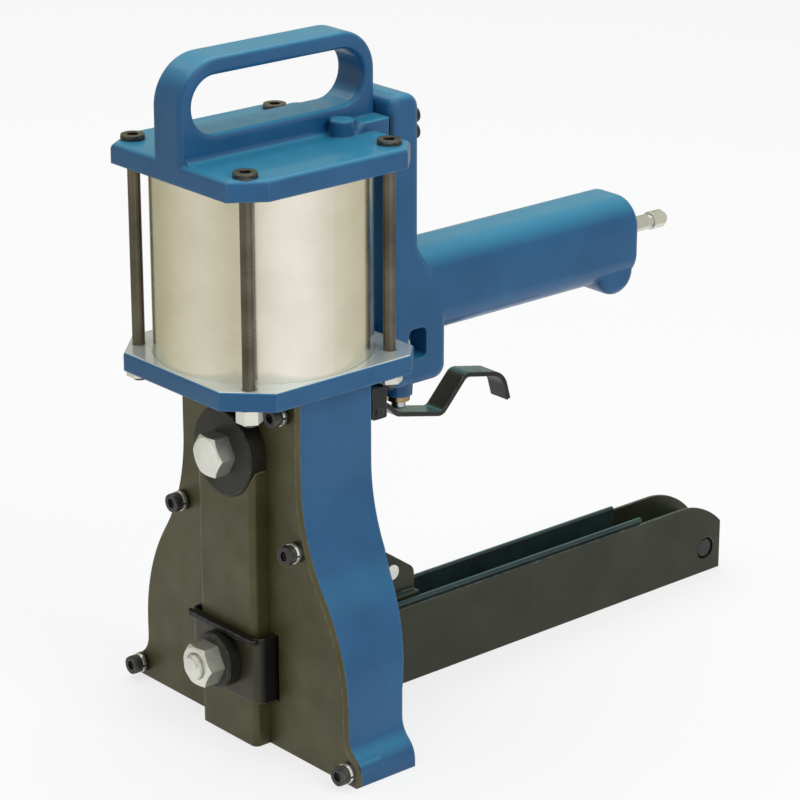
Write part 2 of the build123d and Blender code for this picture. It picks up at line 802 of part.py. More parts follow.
# Tie bolts with socket heads, and the nuts under the base plate
with BuildPart() as tie_bolts:
    with BuildSketch(Plane.XY.offset(frame_height - tie_nut_height - tie_end)):
        with GridLocations(2 * tie_half, 2 * tie_half, 2, 2):
            Circle(tie_radius)
    extrude(amount=tie_seat - frame_height + tie_nut_height + tie_end)
    with BuildSketch(Plane.XY.offset(tie_seat)):
        with GridLocations(2 * tie_half, 2 * tie_half, 2, 2):
            Circle(tie_head_radius)
    extrude(amount=tie_head_height)
    with BuildSketch(Plane.XY.offset(tie_seat + tie_head_height - socket_depth)):
        with GridLocations(2 * tie_half, 2 * tie_half, 2, 2):
            RegularPolygon(tie_socket, 6)
    extrude(amount=socket_depth, mode=Mode.SUBTRACT)
save(tie_bolts, "tie_bolts")

with BuildPart() as tie_nuts:
    with BuildSketch(Plane.XY.offset(frame_height - tie_nut_height)):
        with GridLocations(2 * tie_half, 2 * tie_half, 2, 2):
            RegularPolygon(hex_corners(tie_nut_flats), 6)
            Circle(tie_radius + fit_gap, mode=Mode.SUBTRACT)
    extrude(amount=tie_nut_height)
save(tie_nuts, "tie_nuts")

# Rod bush in the base plate and the rubber bumper over it
with BuildPart() as rod_bush:
    with BuildSketch(Plane.XY.offset(cavity_top)):
        Circle(bush_radius)
    extrude(amount=base_top - cavity_top)
    with BuildSketch(Plane.XY.offset(base_top)):
        Circle(bush_flange_radius)
    extrude(amount=bush_flange_height)
    with BuildSketch(Plane.XY.offset(cavity_top)):
        Circle(rod_radius + fit_gap)
    extrude(amount=base_top + bush_flange_height - cavity_top, mode=Mode.SUBTRACT)
save(rod_bush, "rod_bush")

with BuildPart() as bumper:
    with BuildSketch(Plane.XZ):
        with BuildLine():
            Polyline((bush_flange_radius, base_top), (bumper_radius, base_top),
                     (bumper_radius, base_top + bumper_height - bumper_edge),
                     (bumper_radius - bumper_edge, base_top + bumper_height),
                     (rod_radius + bumper_edge, base_top + bumper_height),
                     (rod_radius + bumper_edge, base_top + bush_flange_height),
                     (bush_flange_radius, base_top + bush_flange_height), close=True)
        make_face()
    revolve(axis=Axis.Z)
save(bumper, "bumper")

# Piston with its ring groove, seal, rod and nut
groove_bottom = piston_bottom + (piston_height - ring_height) / 2
with BuildPart() as piston:
    with BuildSketch(Plane.XY.offset(piston_bottom)):
        Circle(bore_radius - piston_radius_gap)
        Circle(rod_radius, mode=Mode.SUBTRACT)
    extrude(amount=piston_height)
    with BuildSketch(Plane.XY.offset(groove_bottom)):
        Circle(bore_radius)
        Circle(bore_radius - ring_depth, mode=Mode.SUBTRACT)
    extrude(amount=ring_height, mode=Mode.SUBTRACT)
    with BuildSketch(Plane.XY.offset(piston_top - rod_nut_height - rod_nut_sink)):
        Circle(hex_corners(rod_nut_flats) + rod_nut_sink)
    extrude(amount=rod_nut_height + rod_nut_sink, mode=Mode.SUBTRACT)
save(piston, "piston")

with BuildPart() as piston_seal:
    with BuildSketch(Plane.XY.offset(groove_bottom)):
        Circle(bore_radius - fit_gap)
        Circle(bore_radius - ring_depth, mode=Mode.SUBTRACT)
    extrude(amount=ring_height)
save(piston_seal, "piston_seal")

with BuildPart() as piston_rod:
    with BuildSketch(Plane.XY.offset(holder_top - rod_grip)):
        Circle(rod_radius)
    extrude(amount=piston_top - rod_nut_sink - holder_top + rod_grip)
save(piston_rod, "piston_rod")

with BuildPart() as piston_nut:
    with BuildSketch(Plane.XY.offset(piston_top - rod_nut_height - rod_nut_sink)):
        RegularPolygon(hex_corners(rod_nut_flats), 6)
        Circle(rod_radius, mode=Mode.SUBTRACT)
    extrude(amount=rod_nut_height)
save(piston_nut, "piston_nut")

# Driver holder, driver blade and its two flush screws
blade_front = frame_front + fit_gap
blade_back = blade_front + blade_thickness
with BuildPart() as driver_holder:
    with BuildSketch(Plane.XY.offset(holder_bottom)):
        with Locations((0, (blade_back + holder_back) / 2)):
            Rectangle(2 * holder_half, holder_back - blade_back)
    extrude(amount=holder_height)
    fillet(driver_holder.edges().filter_by(Axis.Z), holder_corner)
    with BuildSketch(Plane.XY.offset(holder_top - rod_grip)):
        Circle(rod_radius)
    extrude(amount=rod_grip, mode=Mode.SUBTRACT)
    with BuildSketch(facing_front(blade_back + blade_screw_depth)):
        with Locations((blade_screw_x, blade_screw_z), (-blade_screw_x, blade_screw_z)):
            Circle(blade_screw_radius)
    extrude(amount=blade_screw_depth, mode=Mode.SUBTRACT)
save(driver_holder, "driver_holder")

with BuildPart() as driver_blade:
    with BuildSketch(facing_front(blade_back)):
        with Locations((0, (blade_tip + holder_bottom) / 2)):
            Rectangle(2 * blade_half, holder_bottom - blade_tip)
        with Locations((0, (holder_bottom + holder_top) / 2)):
            Rectangle(2 * holder_half, holder_height)
        with Locations((blade_screw_x, blade_screw_z), (-blade_screw_x, blade_screw_z)):
            Circle(blade_screw_head, mode=Mode.SUBTRACT)
    extrude(amount=blade_thickness)
save(driver_blade, "driver_blade")

with BuildPart() as driver_screws:
    with BuildSketch(facing_front(blade_back)):
        with Locations((blade_screw_x, blade_screw_z), (-blade_screw_x, blade_screw_z)):
            Circle(blade_screw_head)
    extrude(amount=blade_thickness)
    with BuildSketch(facing_front(blade_back + blade_screw_depth)):
        with Locations((blade_screw_x, blade_screw_z), (-blade_screw_x, blade_screw_z)):
            Circle(blade_screw_radius)
    extrude(amount=blade_screw_depth)
save(driver_screws, "driver_screws")


def coil_spring(centre_y, radius, wire, bottom, top, turns):
    """Round wire swept along a helix made of one biarc to each quarter turn."""
    low, high = bottom + wire, top - wire
    quarters = 4 * turns
    climb = (high - low) / (2 * pi * turns)
    axis = Vector(0, centre_y, low)

    def place(i):
        turn = pi / 2 * i
        return axis + Vector(radius * cos(turn), radius * sin(turn), climb * turn)

    def heading(i):
        turn = pi / 2 * i
        return Vector(-radius * sin(turn), radius * cos(turn), climb).normalized()

    with BuildPart() as coil:
        with BuildLine() as path:
            for i in range(quarters):
                p0, p1, t0, t1 = place(i), place(i + 1), heading(i), heading(i + 1)
                chord, both, turn = p1 - p0, t0 + t1, 2 * (1 - t0.dot(t1))
                reach = (sqrt(chord.dot(both) ** 2 + turn * chord.dot(chord)) - chord.dot(both)) / turn
                first, second = p0 + t0 * reach, p1 - t1 * reach
                TangentArc(p0, (first + second) / 2, tangent=t0)
                TangentArc((first + second) / 2, p1, tangent=second - first)
        with BuildSketch(Plane(place(0), z_dir=heading(0))):
            Circle(wire)
        sweep(path=path.line)
    samples = 24                # points to each half turn
    points = [axis + Vector(radius * cos(a), radius * sin(a), climb * a)
              for a in (pi / samples * i for i in range(2 * samples * turns + 1))]
    gap = min((p - q).length for i, p in enumerate(points) for q in points[i + samples:]) - 2 * wire
    print(f"spring at y {centre_y:.1f}: least gap to itself {gap:.2f} mm")
    return coil


return_spring = coil_spring(0, spring_mean_radius, spring_wire_radius, base_top + fit_gap,
                            piston_bottom - fit_gap, spring_turns)
save(return_spring, "return_spring")

# Clinchers: a curved blade on a spoke and hub, swinging out of the foot
def clincher(side):
    """One clincher at rest, drawn for the right side and mirrored for the left."""
    tip, tail = radians(claw_tip_angle), radians(claw_tip_angle + claw_span)
    mid = (tip + tail) / 2
    inner, outer = claw_arc - claw_half_width, claw_arc + claw_half_width

    def at(radius, angle):
        return (side * (claw_x + radius * cos(angle)), claw_z + radius * sin(angle))

    with BuildPart() as claw:
        with BuildSketch(facing_front(frame_front + fit_gap + claw_thickness)):
            with BuildLine():
                ThreePointArc(at(outer, tip), at(outer, mid), at(outer, tail))
                Line(at(outer, tail), at(inner, tail))
                ThreePointArc(at(inner, tail), at(inner, mid), at(inner, tip + radians(claw_bevel)))
                Line(at(inner, tip + radians(claw_bevel)), at(outer, tip))
            make_face()
            with BuildLine():
                Polyline(at(outer - claw_heel_inset, tail), at(inner, tail - radians(claw_spoke)), at(0, 0),
                         at(claw_hub, tail + radians(claw_heel)), close=True)
            make_face()
            with Locations((side * claw_x, claw_z)):
                Circle(claw_hub)
                Circle(claw_pin_radius + fit_gap, mode=Mode.SUBTRACT)
        extrude(amount=claw_thickness)
    return claw


right_clincher = clincher(1)
save(right_clincher, "right_clincher")
left_clincher = clincher(-1)
save(left_clincher, "left_clincher")

with BuildPart() as clincher_pins:
    with BuildSketch(facing_front(foot_back - rear_wall)):
        with Locations((claw_x, claw_z), (-claw_x, claw_z)):
            Circle(claw_pin_radius)
    extrude(amount=foot_back - rear_wall - frame_front - fit_gap)
save(clincher_pins, "clincher_pins")

# Grip with its rounded end
with BuildPart() as grip:
    with BuildSketch(facing_front(column_front + column_edge)):
        with Locations((0, grip_axis)):
            RectangleRounded(grip_width, grip_height, grip_corner)
    extrude(amount=column_front + column_edge - grip_end)
    fillet(grip.faces().sort_by(Axis.Y)[-1].edges(), grip_edge)

# Rounded finger rest under the end of the grip
with BuildPart() as finger_rest:
    with BuildSketch(Plane.YZ):
        with Locations((grip_end - rest_inset - rest_radius, grip_bottom - rest_drop + rest_radius)):
            Circle(rest_radius)
    extrude(amount=rest_half, both=True)
    fillet(finger_rest.faces().group_by(Axis.X)[0].edges()
           + finger_rest.faces().group_by(Axis.X)[-1].edges(), rest_edge)

# Grip housing: rear column, valve block and grip in one casting
with BuildPart() as grip_housing:
    with BuildSketch(Plane.YZ):
        with BuildLine():
            FilletPolyline((column_front, block_bottom), (column_front, column_top),
                           (column_back, column_top),
                           (column_back, grip_axis + grip_height / 2 + column_edge),
                           (block_back, grip_axis), (block_back, block_bottom),
                           radius=column_corner, close=True)
        make_face()
    extrude(amount=bracket_half, both=True)
    fillet(grip_housing.edges().filter_by(Axis.Z).group_by(Axis.Y)[-1], column_edge)
    add(grip.part)
    add(finger_rest.part)
    with BuildSketch(Plane.XY.offset(boss_tip_z)):
        with Locations((0, valve_y)):
            Circle(valve_boss_tip)
    with BuildSketch(Plane.XY.offset(block_bottom)):
        with Locations((0, valve_y)):
            Circle(valve_boss_radius)
    loft()
    with BuildSketch(facing_front(valve_y)):
        with BuildLine():
            root_bottom, root_top = block_bottom - valve_boss_root, block_bottom + column_corner
            boss_taper = (valve_boss_radius - valve_boss_tip) / valve_boss_drop
            boss_side = valve_boss_radius - boss_taper * valve_boss_root
            boss_rim = boss_side + valve_boss_root
            Polyline((boss_side, root_bottom), (0, root_bottom), (0, root_top), (boss_rim, root_top),
                     (boss_rim, block_bottom))
            TangentArc((boss_rim, block_bottom), (boss_side, root_bottom), tangent=(-1, 0))
        make_face()
    revolve(axis=Axis((0, valve_y, 0), (0, 0, 1)), revolution_arc=180)
    with BuildSketch(Plane.XY.offset(boss_tip_z)):
        with Locations((0, valve_y)):
            Circle(valve_bore)
    extrude(amount=valve_boss_drop + valve_depth, mode=Mode.SUBTRACT)
    with BuildSketch(facing_front(column_back)):
        with Locations(*column_screw_points):
            Circle(column_screw_radius + fit_gap)
    extrude(amount=column_depth, mode=Mode.SUBTRACT)
    with BuildSketch(facing_front(column_back)):
        with Locations(*column_screw_points):
            Circle(column_screw_head + fit_gap)
    extrude(amount=column_screw_sink, mode=Mode.SUBTRACT)
    for side in (-1, 1):
        with BuildSketch(Plane.YZ.offset(side * bracket_half)):
            with Locations((column_front + pocket_web + pocket_length / 2, pocket_screw_z)):
                RectangleRounded(pocket_length, pocket_height, pocket_corner)
        extrude(amount=pocket_depth, both=True, mode=Mode.SUBTRACT)
    with BuildSketch(facing_front(column_front + pocket_web)):
        with Locations(*pocket_screw_points):
            Circle(column_screw_radius + fit_gap)
    extrude(amount=pocket_web, mode=Mode.SUBTRACT)
    with BuildSketch(facing_front(grip_end)):
        with Locations((0, plug_axis)):
            Circle(plug_thread)
    extrude(amount=plug_thread_length, mode=Mode.SUBTRACT)
    with BuildSketch(Plane.XY.offset(block_bottom)):
        with Locations(*bracket_screw_points):
            Circle(bracket_screw_radius)
    extrude(amount=bracket_screw_depth, mode=Mode.SUBTRACT)
save(grip_housing, "grip_housing")

# Gaskets between the housing and the two castings
with BuildPart() as column_gaskets:
    with BuildSketch(facing_front(column_front)):
        with Locations((0, (head_bottom + port_pad_top) / 2)):
            Rectangle(2 * bracket_half, port_pad_top - head_bottom)
        with Locations((0, (gasket_bottom + gasket_top) / 2)):
            Rectangle(2 * bracket_half, gasket_top - gasket_bottom)
        with Locations(*column_screw_points, *pocket_screw_points):
            Circle(column_screw_radius + fit_gap, mode=Mode.SUBTRACT)
    extrude(amount=gasket)
save(column_gaskets, "column_gaskets")


def socket_screws(points, seat, head_radius, head_height, radius, length):
    """Socket screws along Y, heads standing back from seat, shanks running to the front."""
    with BuildPart() as screws:
        with BuildSketch(facing_front(seat + head_height)):
            with Locations(*points):
                Circle(head_radius)
                RegularPolygon(radius * socket_ratio, 6, mode=Mode.SUBTRACT)
        extrude(amount=socket_depth)
        with BuildSketch(facing_front(seat + head_height - socket_depth)):
            with Locations(*points):
                Circle(head_radius)
        extrude(amount=head_height - socket_depth)
        with BuildSketch(facing_front(seat)):
            with Locations(*points):
                Circle(radius)
        extrude(amount=length)
    return screws


column_screws = socket_screws(column_screw_points, column_back - column_screw_sink, column_screw_head,
                              column_screw_head_height, column_screw_radius,
                              column_depth - column_screw_sink + gasket + column_screw_depth)
save(column_screws, "column_screws")
pocket_screws = socket_screws(pocket_screw_points, column_front + pocket_web, column_screw_head,
                              column_screw_head_height, column_screw_radius,
                              pocket_web + gasket + column_screw_depth)
save(pocket_screws, "pocket_screws")

# Air plug: thread, hexagon collar, body, neck and bulb
with BuildPart() as air_plug:
    with BuildSketch(facing_front(grip_end + plug_collar)):
        with Locations((0, plug_axis)):
            RegularPolygon(hex_corners(plug_collar_flats), 6)
    extrude(amount=plug_collar)
    with BuildSketch(Plane.YZ):
        with BuildLine():
            thread_start = grip_end - plug_thread_length
            body_start = grip_end + plug_collar
            neck_start = body_start + plug_body
            neck_end = neck_start + plug_neck
            tip_end = neck_end + plug_tip
            thread_z = plug_axis + plug_thread
            body_z = plug_axis + plug_body_radius
            neck_z = plug_axis + plug_neck_radius
            tip_z = plug_axis + plug_tip_radius
            Polyline((thread_start, plug_axis), (thread_start, thread_z), (body_start, thread_z),
                     (body_start, body_z), (neck_start, body_z), (neck_start + plug_step, neck_z),
                     (neck_end - plug_step, neck_z), (neck_end, tip_z), (tip_end - plug_nose, tip_z),
                     (tip_end, neck_z), (tip_end, plug_axis), close=True)
        make_face()
    revolve(axis=Axis((0, 0, plug_axis), (0, 1, 0)))
    with BuildSketch(facing_front(tip_end)):
        with Locations((0, plug_axis)):
            Circle(plug_bore)
    extrude(amount=tip_end - thread_start, mode=Mode.SUBTRACT)
save(air_plug, "air_plug")

# Valve: brass bush in the boss, stem with a head, spring above it
bush_bottom = boss_tip_z - bush_proud
with BuildPart() as valve_bush:
    with BuildSketch(Plane.XY.offset(bush_bottom)):
        with Locations((0, valve_y)):
            Circle(valve_bore)
            Circle(stem_radius + fit_gap, mode=Mode.SUBTRACT)
    extrude(amount=bush_length)
save(valve_bush, "valve_bush")

stem_bottom = bush_bottom - stem_drop
stem_head_bottom = bush_bottom + bush_length + free_gap
with BuildPart() as valve_stem:
    with BuildSketch(Plane.XY.offset(stem_bottom)):
        with Locations((0, valve_y)):
            Circle(stem_radius)
    extrude(amount=stem_head_bottom - stem_bottom)
    with BuildSketch(Plane.XY.offset(stem_head_bottom)):
        with Locations((0, valve_y)):
            Circle(stem_head_radius)
    extrude(amount=stem_head_height)
    fillet(valve_stem.edges().filter_by(GeomType.CIRCLE).group_by(Axis.Z)[0], stem_edge)
save(valve_stem, "valve_stem")

valve_spring = coil_spring(valve_y, stem_head_radius - 2 * valve_wire, valve_wire,
                           stem_head_bottom + stem_head_height + fit_gap,
                           block_bottom + valve_depth - fit_gap, valve_turns)
save(valve_spring, "valve_spring")

# Trigger: bent strip with a knuckle round its pin, in a bracket under the valve block
with BuildPart() as trigger_lever:
    with BuildSketch(Plane.YZ):
        with BuildLine():
            steps = ((0, lever_root_rise), (lever_root_length, lever_root_rise),
                     (lever_flat_start, -lever_flat_drop), (lever_flat_end, -lever_heel_drop),
                     (lever_top_start, lever_top_rise), (lever_top_end, lever_top_rise - lever_top_fall),
                     (lever_tip_reach, -lever_tip_drop))
            FilletPolyline(*[(lever_pivot_y + y, lever_pivot_z + z) for y, z in steps],
                           radius=[lever_bend] * 4 + [lever_tip_bend])
        trace(line_width=lever_thickness)
    extrude(amount=strip_half, both=True)
    with BuildSketch(Plane.YZ):
        with Locations((lever_pivot_y, lever_pivot_z)):
            Circle(lever_knuckle)
    extrude(amount=lever_half, both=True)
    with BuildSketch(Plane.YZ):
        with Locations((lever_pivot_y, lever_pivot_z)):
            Circle(trigger_pin_radius + fit_gap)
    extrude(amount=lever_half, both=True, mode=Mode.SUBTRACT)
save(trigger_lever, "trigger_lever")

bracket_inner = lever_half + free_gap
bracket_outer = bracket_inner + bracket_wall
with BuildPart() as trigger_bracket:
    with BuildSketch(Plane.XY.offset(block_bottom - bracket_wall)):
        with Locations((0, lever_pivot_y - bracket_length / 2 + bracket_foot / 2)):
            Rectangle(2 * bracket_outer, bracket_foot)
        with Locations(*bracket_screw_points):
            Circle(bracket_screw_radius + fit_gap, mode=Mode.SUBTRACT)
    extrude(amount=bracket_wall)
    for side in (-1, 1):
        with BuildSketch(Plane.YZ.offset(side * (bracket_inner + bracket_wall / 2))):
            cheek_top, cheek_bottom = block_bottom - bracket_wall, lever_pivot_z - bracket_end
            with Locations((lever_pivot_y, (cheek_top + cheek_bottom) / 2)):
                cheek = Rectangle(bracket_length, cheek_top - cheek_bottom)
            fillet(cheek.vertices().group_by(Axis.Y)[0], bracket_corner)
            with Locations((lever_pivot_y, lever_pivot_z)):
                Circle(trigger_pin_radius, mode=Mode.SUBTRACT)
        extrude(amount=bracket_wall / 2, both=True)
save(trigger_bracket, "trigger_bracket")

with BuildPart() as trigger_pin:
    with BuildSketch(Plane.YZ):
        with Locations((lever_pivot_y, lever_pivot_z)):
            Circle(trigger_pin_radius)
    extrude(amount=bracket_outer + trigger_pin_proud, both=True)
save(trigger_pin, "trigger_pin")

with BuildPart() as bracket_screws:
    with BuildSketch(Plane.XY.offset(block_bottom - bracket_wall - bracket_screw_head_height)):
        with Locations(*bracket_screw_points):
            Circle(bracket_screw_head)
    extrude(amount=bracket_screw_head_height)
    with BuildSketch(Plane.XY.offset(block_bottom - bracket_wall)):
        with Locations(*bracket_screw_points):
            Circle(bracket_screw_radius)
    extrude(amount=bracket_wall + bracket_screw_depth)
save(bracket_screws, "bracket_screws")

# Magazine channel: folded steel, tabs on the frame, rounded corners at the rear
with BuildPart() as magazine_channel:
    with BuildSketch(Plane.YZ):
        with BuildLine():
            corner_z = magazine_top - end_fall
            corner_start = magazine_end - end_run
            Line((magazine_front, magazine_bottom), (magazine_end, magazine_bottom))
            Line((magazine_end, magazine_bottom), (magazine_end, corner_z))
            TangentArc((corner_start, magazine_top), (magazine_end, corner_z), tangent=(1, 0))
            Line((corner_start, magazine_top), (magazine_front, magazine_top))
            Line((magazine_front, magazine_top), (magazine_front, magazine_bottom))
        make_face()
        with Locations((magazine_end - end_hole_inset, end_hole_z)):
            Circle(end_hole_radius, mode=Mode.SUBTRACT)
    extrude(amount=magazine_half, both=True)
    with BuildSketch(facing_front(magazine_end + overrun)):
        with Locations((0, magazine_bottom + magazine_wall + magazine_top)):
            Rectangle(2 * magazine_inner, 2 * magazine_top)
    extrude(amount=magazine_end - magazine_front + 2 * overrun, mode=Mode.SUBTRACT)
    with BuildSketch(facing_front(foot_back + magazine_wall)):
        tab_x = magazine_half + (tab_width - magazine_wall) / 2
        tab_z = tab_bottom + tab_height / 2
        with Locations((tab_x, tab_z), (-tab_x, tab_z)):
            Rectangle(tab_width + magazine_wall, tab_height)
        with Locations(*tab_screw_points):
            Circle(tab_screw_radius + fit_gap, mode=Mode.SUBTRACT)
    extrude(amount=magazine_wall)
save(magazine_channel, "magazine_channel")

magazine_screws = socket_screws(tab_screw_points, foot_back + magazine_wall, tab_screw_head,
                                tab_screw_head_height, tab_screw_radius, magazine_wall + tab_screw_depth)
save(magazine_screws, "magazine_screws")

# Cover rails with rolled top edges, along the inside of both walls
with BuildPart() as magazine_rails:
    with BuildSketch(facing_front(rail_end)):
        rail_x = magazine_inner - fit_gap - rail_wall / 2
        rail_z = (rail_bottom + rail_top) / 2
        with Locations((rail_x, rail_z), (-rail_x, rail_z)):
            Rectangle(rail_wall, rail_top - rail_bottom)
        with Locations((rail_x, rail_top), (-rail_x, rail_top)):
            Circle(rail_roll)
    extrude(amount=rail_end - rail_front)
save(magazine_rails, "magazine_rails")

# Staple core, a channel that opens downwards, and the pin at its rear end
with BuildPart() as staple_core:
    with BuildSketch(Plane.YZ):
        core_bottom = magazine_bottom + magazine_wall
        with Locations(((magazine_front + core_end) / 2, (core_bottom + core_top) / 2)):
            Rectangle(core_end - magazine_front, core_top - core_bottom)
        with Locations((magazine_end - end_hole_inset, end_hole_z)):
            Circle(end_pin_radius, mode=Mode.SUBTRACT)
    extrude(amount=core_half, both=True)
    with BuildSketch(facing_front(core_end)):
        with Locations((0, (core_bottom + core_top - core_wall) / 2)):
            Rectangle(2 * (core_half - core_wall), core_top - core_wall - core_bottom)
    extrude(amount=core_end - magazine_front, mode=Mode.SUBTRACT)
save(staple_core, "staple_core")

with BuildPart() as magazine_end_pin:
    with BuildSketch(Plane.YZ):
        with Locations((magazine_end - end_hole_inset, end_hole_z)):
            Circle(end_pin_radius)
    extrude(amount=magazine_half - end_pin_inset, both=True)
save(magazine_end_pin, "magazine_end_pin")

# Pusher: saddle over the core, narrow lug of two cheeks with the roll spring between them, axle
saddle_bottom = core_top + fit_gap
pusher_back = pusher_front + pusher_length
with BuildPart() as pusher:
    with BuildSketch(Plane.YZ) as lug:
        with BuildLine():
            Polyline((pusher_front, saddle_bottom), (pusher_front, pusher_top),
                     (pusher_front + pusher_slope_start, pusher_top), (pusher_back, pusher_back_top),
                     (pusher_back, saddle_bottom), close=True)
        make_face()
        fillet(lug.vertices().sort_by(Axis.Y)[2:], pusher_corner)
        with Locations((axle_y, axle_z)):
            Circle(axle_radius, mode=Mode.SUBTRACT)
    extrude(amount=lug_half, both=True)
    with BuildSketch(Plane.YZ):
        with Locations(((pusher_front + pusher_back) / 2, (saddle_bottom + pusher_shoulder) / 2)):
            Rectangle(pusher_length, pusher_shoulder - saddle_bottom)
    extrude(amount=pusher_half, both=True)
    with BuildSketch(Plane.YZ):
        with Locations((axle_y, axle_z)):
            Circle(roll_radius + 2 * free_gap)
        with Locations((axle_y, (axle_z + pusher_top + overrun) / 2)):
            Rectangle(2 * (roll_radius + 2 * free_gap), pusher_top - axle_z + overrun)
    extrude(amount=lug_half - pusher_cheek, both=True, mode=Mode.SUBTRACT)
    with BuildSketch(facing_front(pusher_back)):
        leg_outside = core_half + free_gap + leg_thickness
        for side in (-1, 1):
            with Locations((side * (leg_outside - leg_thickness / 2), (pusher_leg_bottom + leg_top) / 2)):
                Rectangle(leg_thickness, leg_top - pusher_leg_bottom)
            with Locations((side * (leg_outside - leg_bridge / 2), (saddle_bottom + leg_top) / 2)):
                Rectangle(leg_bridge, leg_top - saddle_bottom)
    extrude(amount=pusher_length)
save(pusher, "pusher")

with BuildPart() as pusher_axle:
    with BuildSketch(Plane.YZ):
        with Locations((axle_y, axle_z)):
            Circle(axle_radius)
    extrude(amount=lug_half + axle_head, both=True)
    for side in (-1, 1):
        with BuildSketch(Plane.YZ.offset(side * (lug_half + axle_head / 2))):
            with Locations((axle_y, axle_z)):
                Circle(axle_head_radius)
        extrude(amount=axle_head / 2, both=True)
save(pusher_axle, "pusher_axle")

with BuildPart() as pusher_spring:
    with BuildSketch(Plane.YZ):
        with Locations((axle_y, axle_z)):
            Circle(roll_radius)
            Circle(axle_radius + fit_gap, mode=Mode.SUBTRACT)
    extrude(amount=lug_half - pusher_cheek - free_gap, both=True)
save(pusher_spring, "pusher_spring")
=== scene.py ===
# %% [markdown]
# # A pneumatic carton stapler in the studio
# The tool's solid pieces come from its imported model, each at its real size and place, and they stay as
# they are. This lesson gives every one of them a finish, adds the fine metalwork that is too small for
# the solids, and sets up a floor, lamps and a camera. The model is loaded first, because everything else
# takes its place from it.

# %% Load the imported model
import json
import math
import bpy
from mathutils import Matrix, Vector


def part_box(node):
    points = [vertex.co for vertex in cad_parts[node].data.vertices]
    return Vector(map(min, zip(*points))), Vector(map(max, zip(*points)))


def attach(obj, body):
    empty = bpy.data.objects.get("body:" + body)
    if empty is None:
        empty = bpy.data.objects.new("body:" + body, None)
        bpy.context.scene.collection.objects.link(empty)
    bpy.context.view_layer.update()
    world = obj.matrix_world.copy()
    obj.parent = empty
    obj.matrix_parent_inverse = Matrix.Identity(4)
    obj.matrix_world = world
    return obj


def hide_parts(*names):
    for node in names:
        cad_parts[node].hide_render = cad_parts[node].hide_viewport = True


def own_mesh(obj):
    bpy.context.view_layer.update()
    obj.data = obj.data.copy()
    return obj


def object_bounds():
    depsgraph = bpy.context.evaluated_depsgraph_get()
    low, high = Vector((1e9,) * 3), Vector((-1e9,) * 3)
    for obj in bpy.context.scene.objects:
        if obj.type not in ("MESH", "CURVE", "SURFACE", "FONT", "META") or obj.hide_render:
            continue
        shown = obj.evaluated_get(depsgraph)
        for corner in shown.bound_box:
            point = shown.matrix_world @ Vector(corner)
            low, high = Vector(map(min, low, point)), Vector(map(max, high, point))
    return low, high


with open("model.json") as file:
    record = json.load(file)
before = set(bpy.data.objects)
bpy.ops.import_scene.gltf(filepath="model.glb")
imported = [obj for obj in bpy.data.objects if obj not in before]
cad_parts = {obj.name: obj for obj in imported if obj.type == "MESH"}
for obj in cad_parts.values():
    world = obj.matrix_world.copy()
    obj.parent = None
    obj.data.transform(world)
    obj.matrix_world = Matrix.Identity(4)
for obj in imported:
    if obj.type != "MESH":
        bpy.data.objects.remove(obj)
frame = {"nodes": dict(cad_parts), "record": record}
cad_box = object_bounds()
nodes = frame["nodes"]

# %% [markdown]
# ## Camera
# The photograph was taken from the front right corner, a little above the tool, with a long lens, which
# keeps the upright edges nearly parallel. A camera can be turned by eye until the view looks right, but
# small errors then show as edges that lean. This one was worked out from points that are easy to find,
# such as corners of plates, so it stands over a metre away and its lens is narrow.

# %% Camera
camera_place = Vector((0.8999, -0.7083, 0.5582))
camera_turn = math.radians(49.144)
camera_tilt = math.radians(90 - 20.179)
lens_mm, film_width_mm = 140.15, 36.0

camera_data = bpy.data.cameras.new("photo_camera")
camera_data.lens = lens_mm
camera_data.sensor_width = film_width_mm
camera = bpy.data.objects.new("photo_camera", camera_data)
camera.location = camera_place
camera.rotation_euler = (camera_tilt, 0, camera_turn)
bpy.context.scene.collection.objects.link(camera)
bpy.context.scene.camera = camera
print("camera stands", round(camera_place.length, 3), "m from the foot")

# %% [markdown]
# ## A kit for finishes
# Each finish is a small node tree: one shader, a few noises that vary its colour and gloss, and a bump.
# Pictures wrapped round the pieces could do the same, but every piece would have to be unwrapped first.
# Noise needs no unwrapping. It is measured in metres of the tool itself, so a grain has its real size,
# and it stays on its piece when that piece moves.

# %% Shader, grain and spread
def new_finish(name, metal, gloss_weight=0.5):
    """A material with one shader whose constant values are set on its own sockets."""
    material = bpy.data.materials.new(name)
    material.use_nodes = True
    tree = material.node_tree
    shader = tree.nodes["Principled BSDF"]
    shader.inputs["Metallic"].default_value = metal
    shader.inputs["Specular IOR Level"].default_value = gloss_weight
    return material, tree, shader


def grain(tree, size, stretch=(1, 1, 1), detail=3.0):
    """Noise whose lumps are about size metres across, stretched along the tool's axes."""
    place = tree.nodes.new("ShaderNodeTexCoord")
    mapping = tree.nodes.new("ShaderNodeMapping")
    mapping.inputs["Scale"].default_value = stretch
    noise = tree.nodes.new("ShaderNodeTexNoise")
    noise.inputs["Scale"].default_value = 1 / size
    noise.inputs["Detail"].default_value = detail
    tree.links.new(place.outputs["Object"], mapping.inputs["Vector"])
    tree.links.new(mapping.outputs["Vector"], noise.inputs["Vector"])
    return noise.outputs["Fac"]


def spread(tree, value, low, high, start=0.35, end=0.65):
    """Maps a value between start and end, which is where most noise lies, on to low and high."""
    node = tree.nodes.new("ShaderNodeMapRange")
    node.inputs["From Min"].default_value = start
    node.inputs["From Max"].default_value = end
    node.inputs["To Min"].default_value = low
    node.inputs["To Max"].default_value = high
    tree.links.new(value, node.inputs["Value"])
    return node.outputs["Result"]


finishes = {}
print("made the noise helpers; finishes so far:", len(finishes))

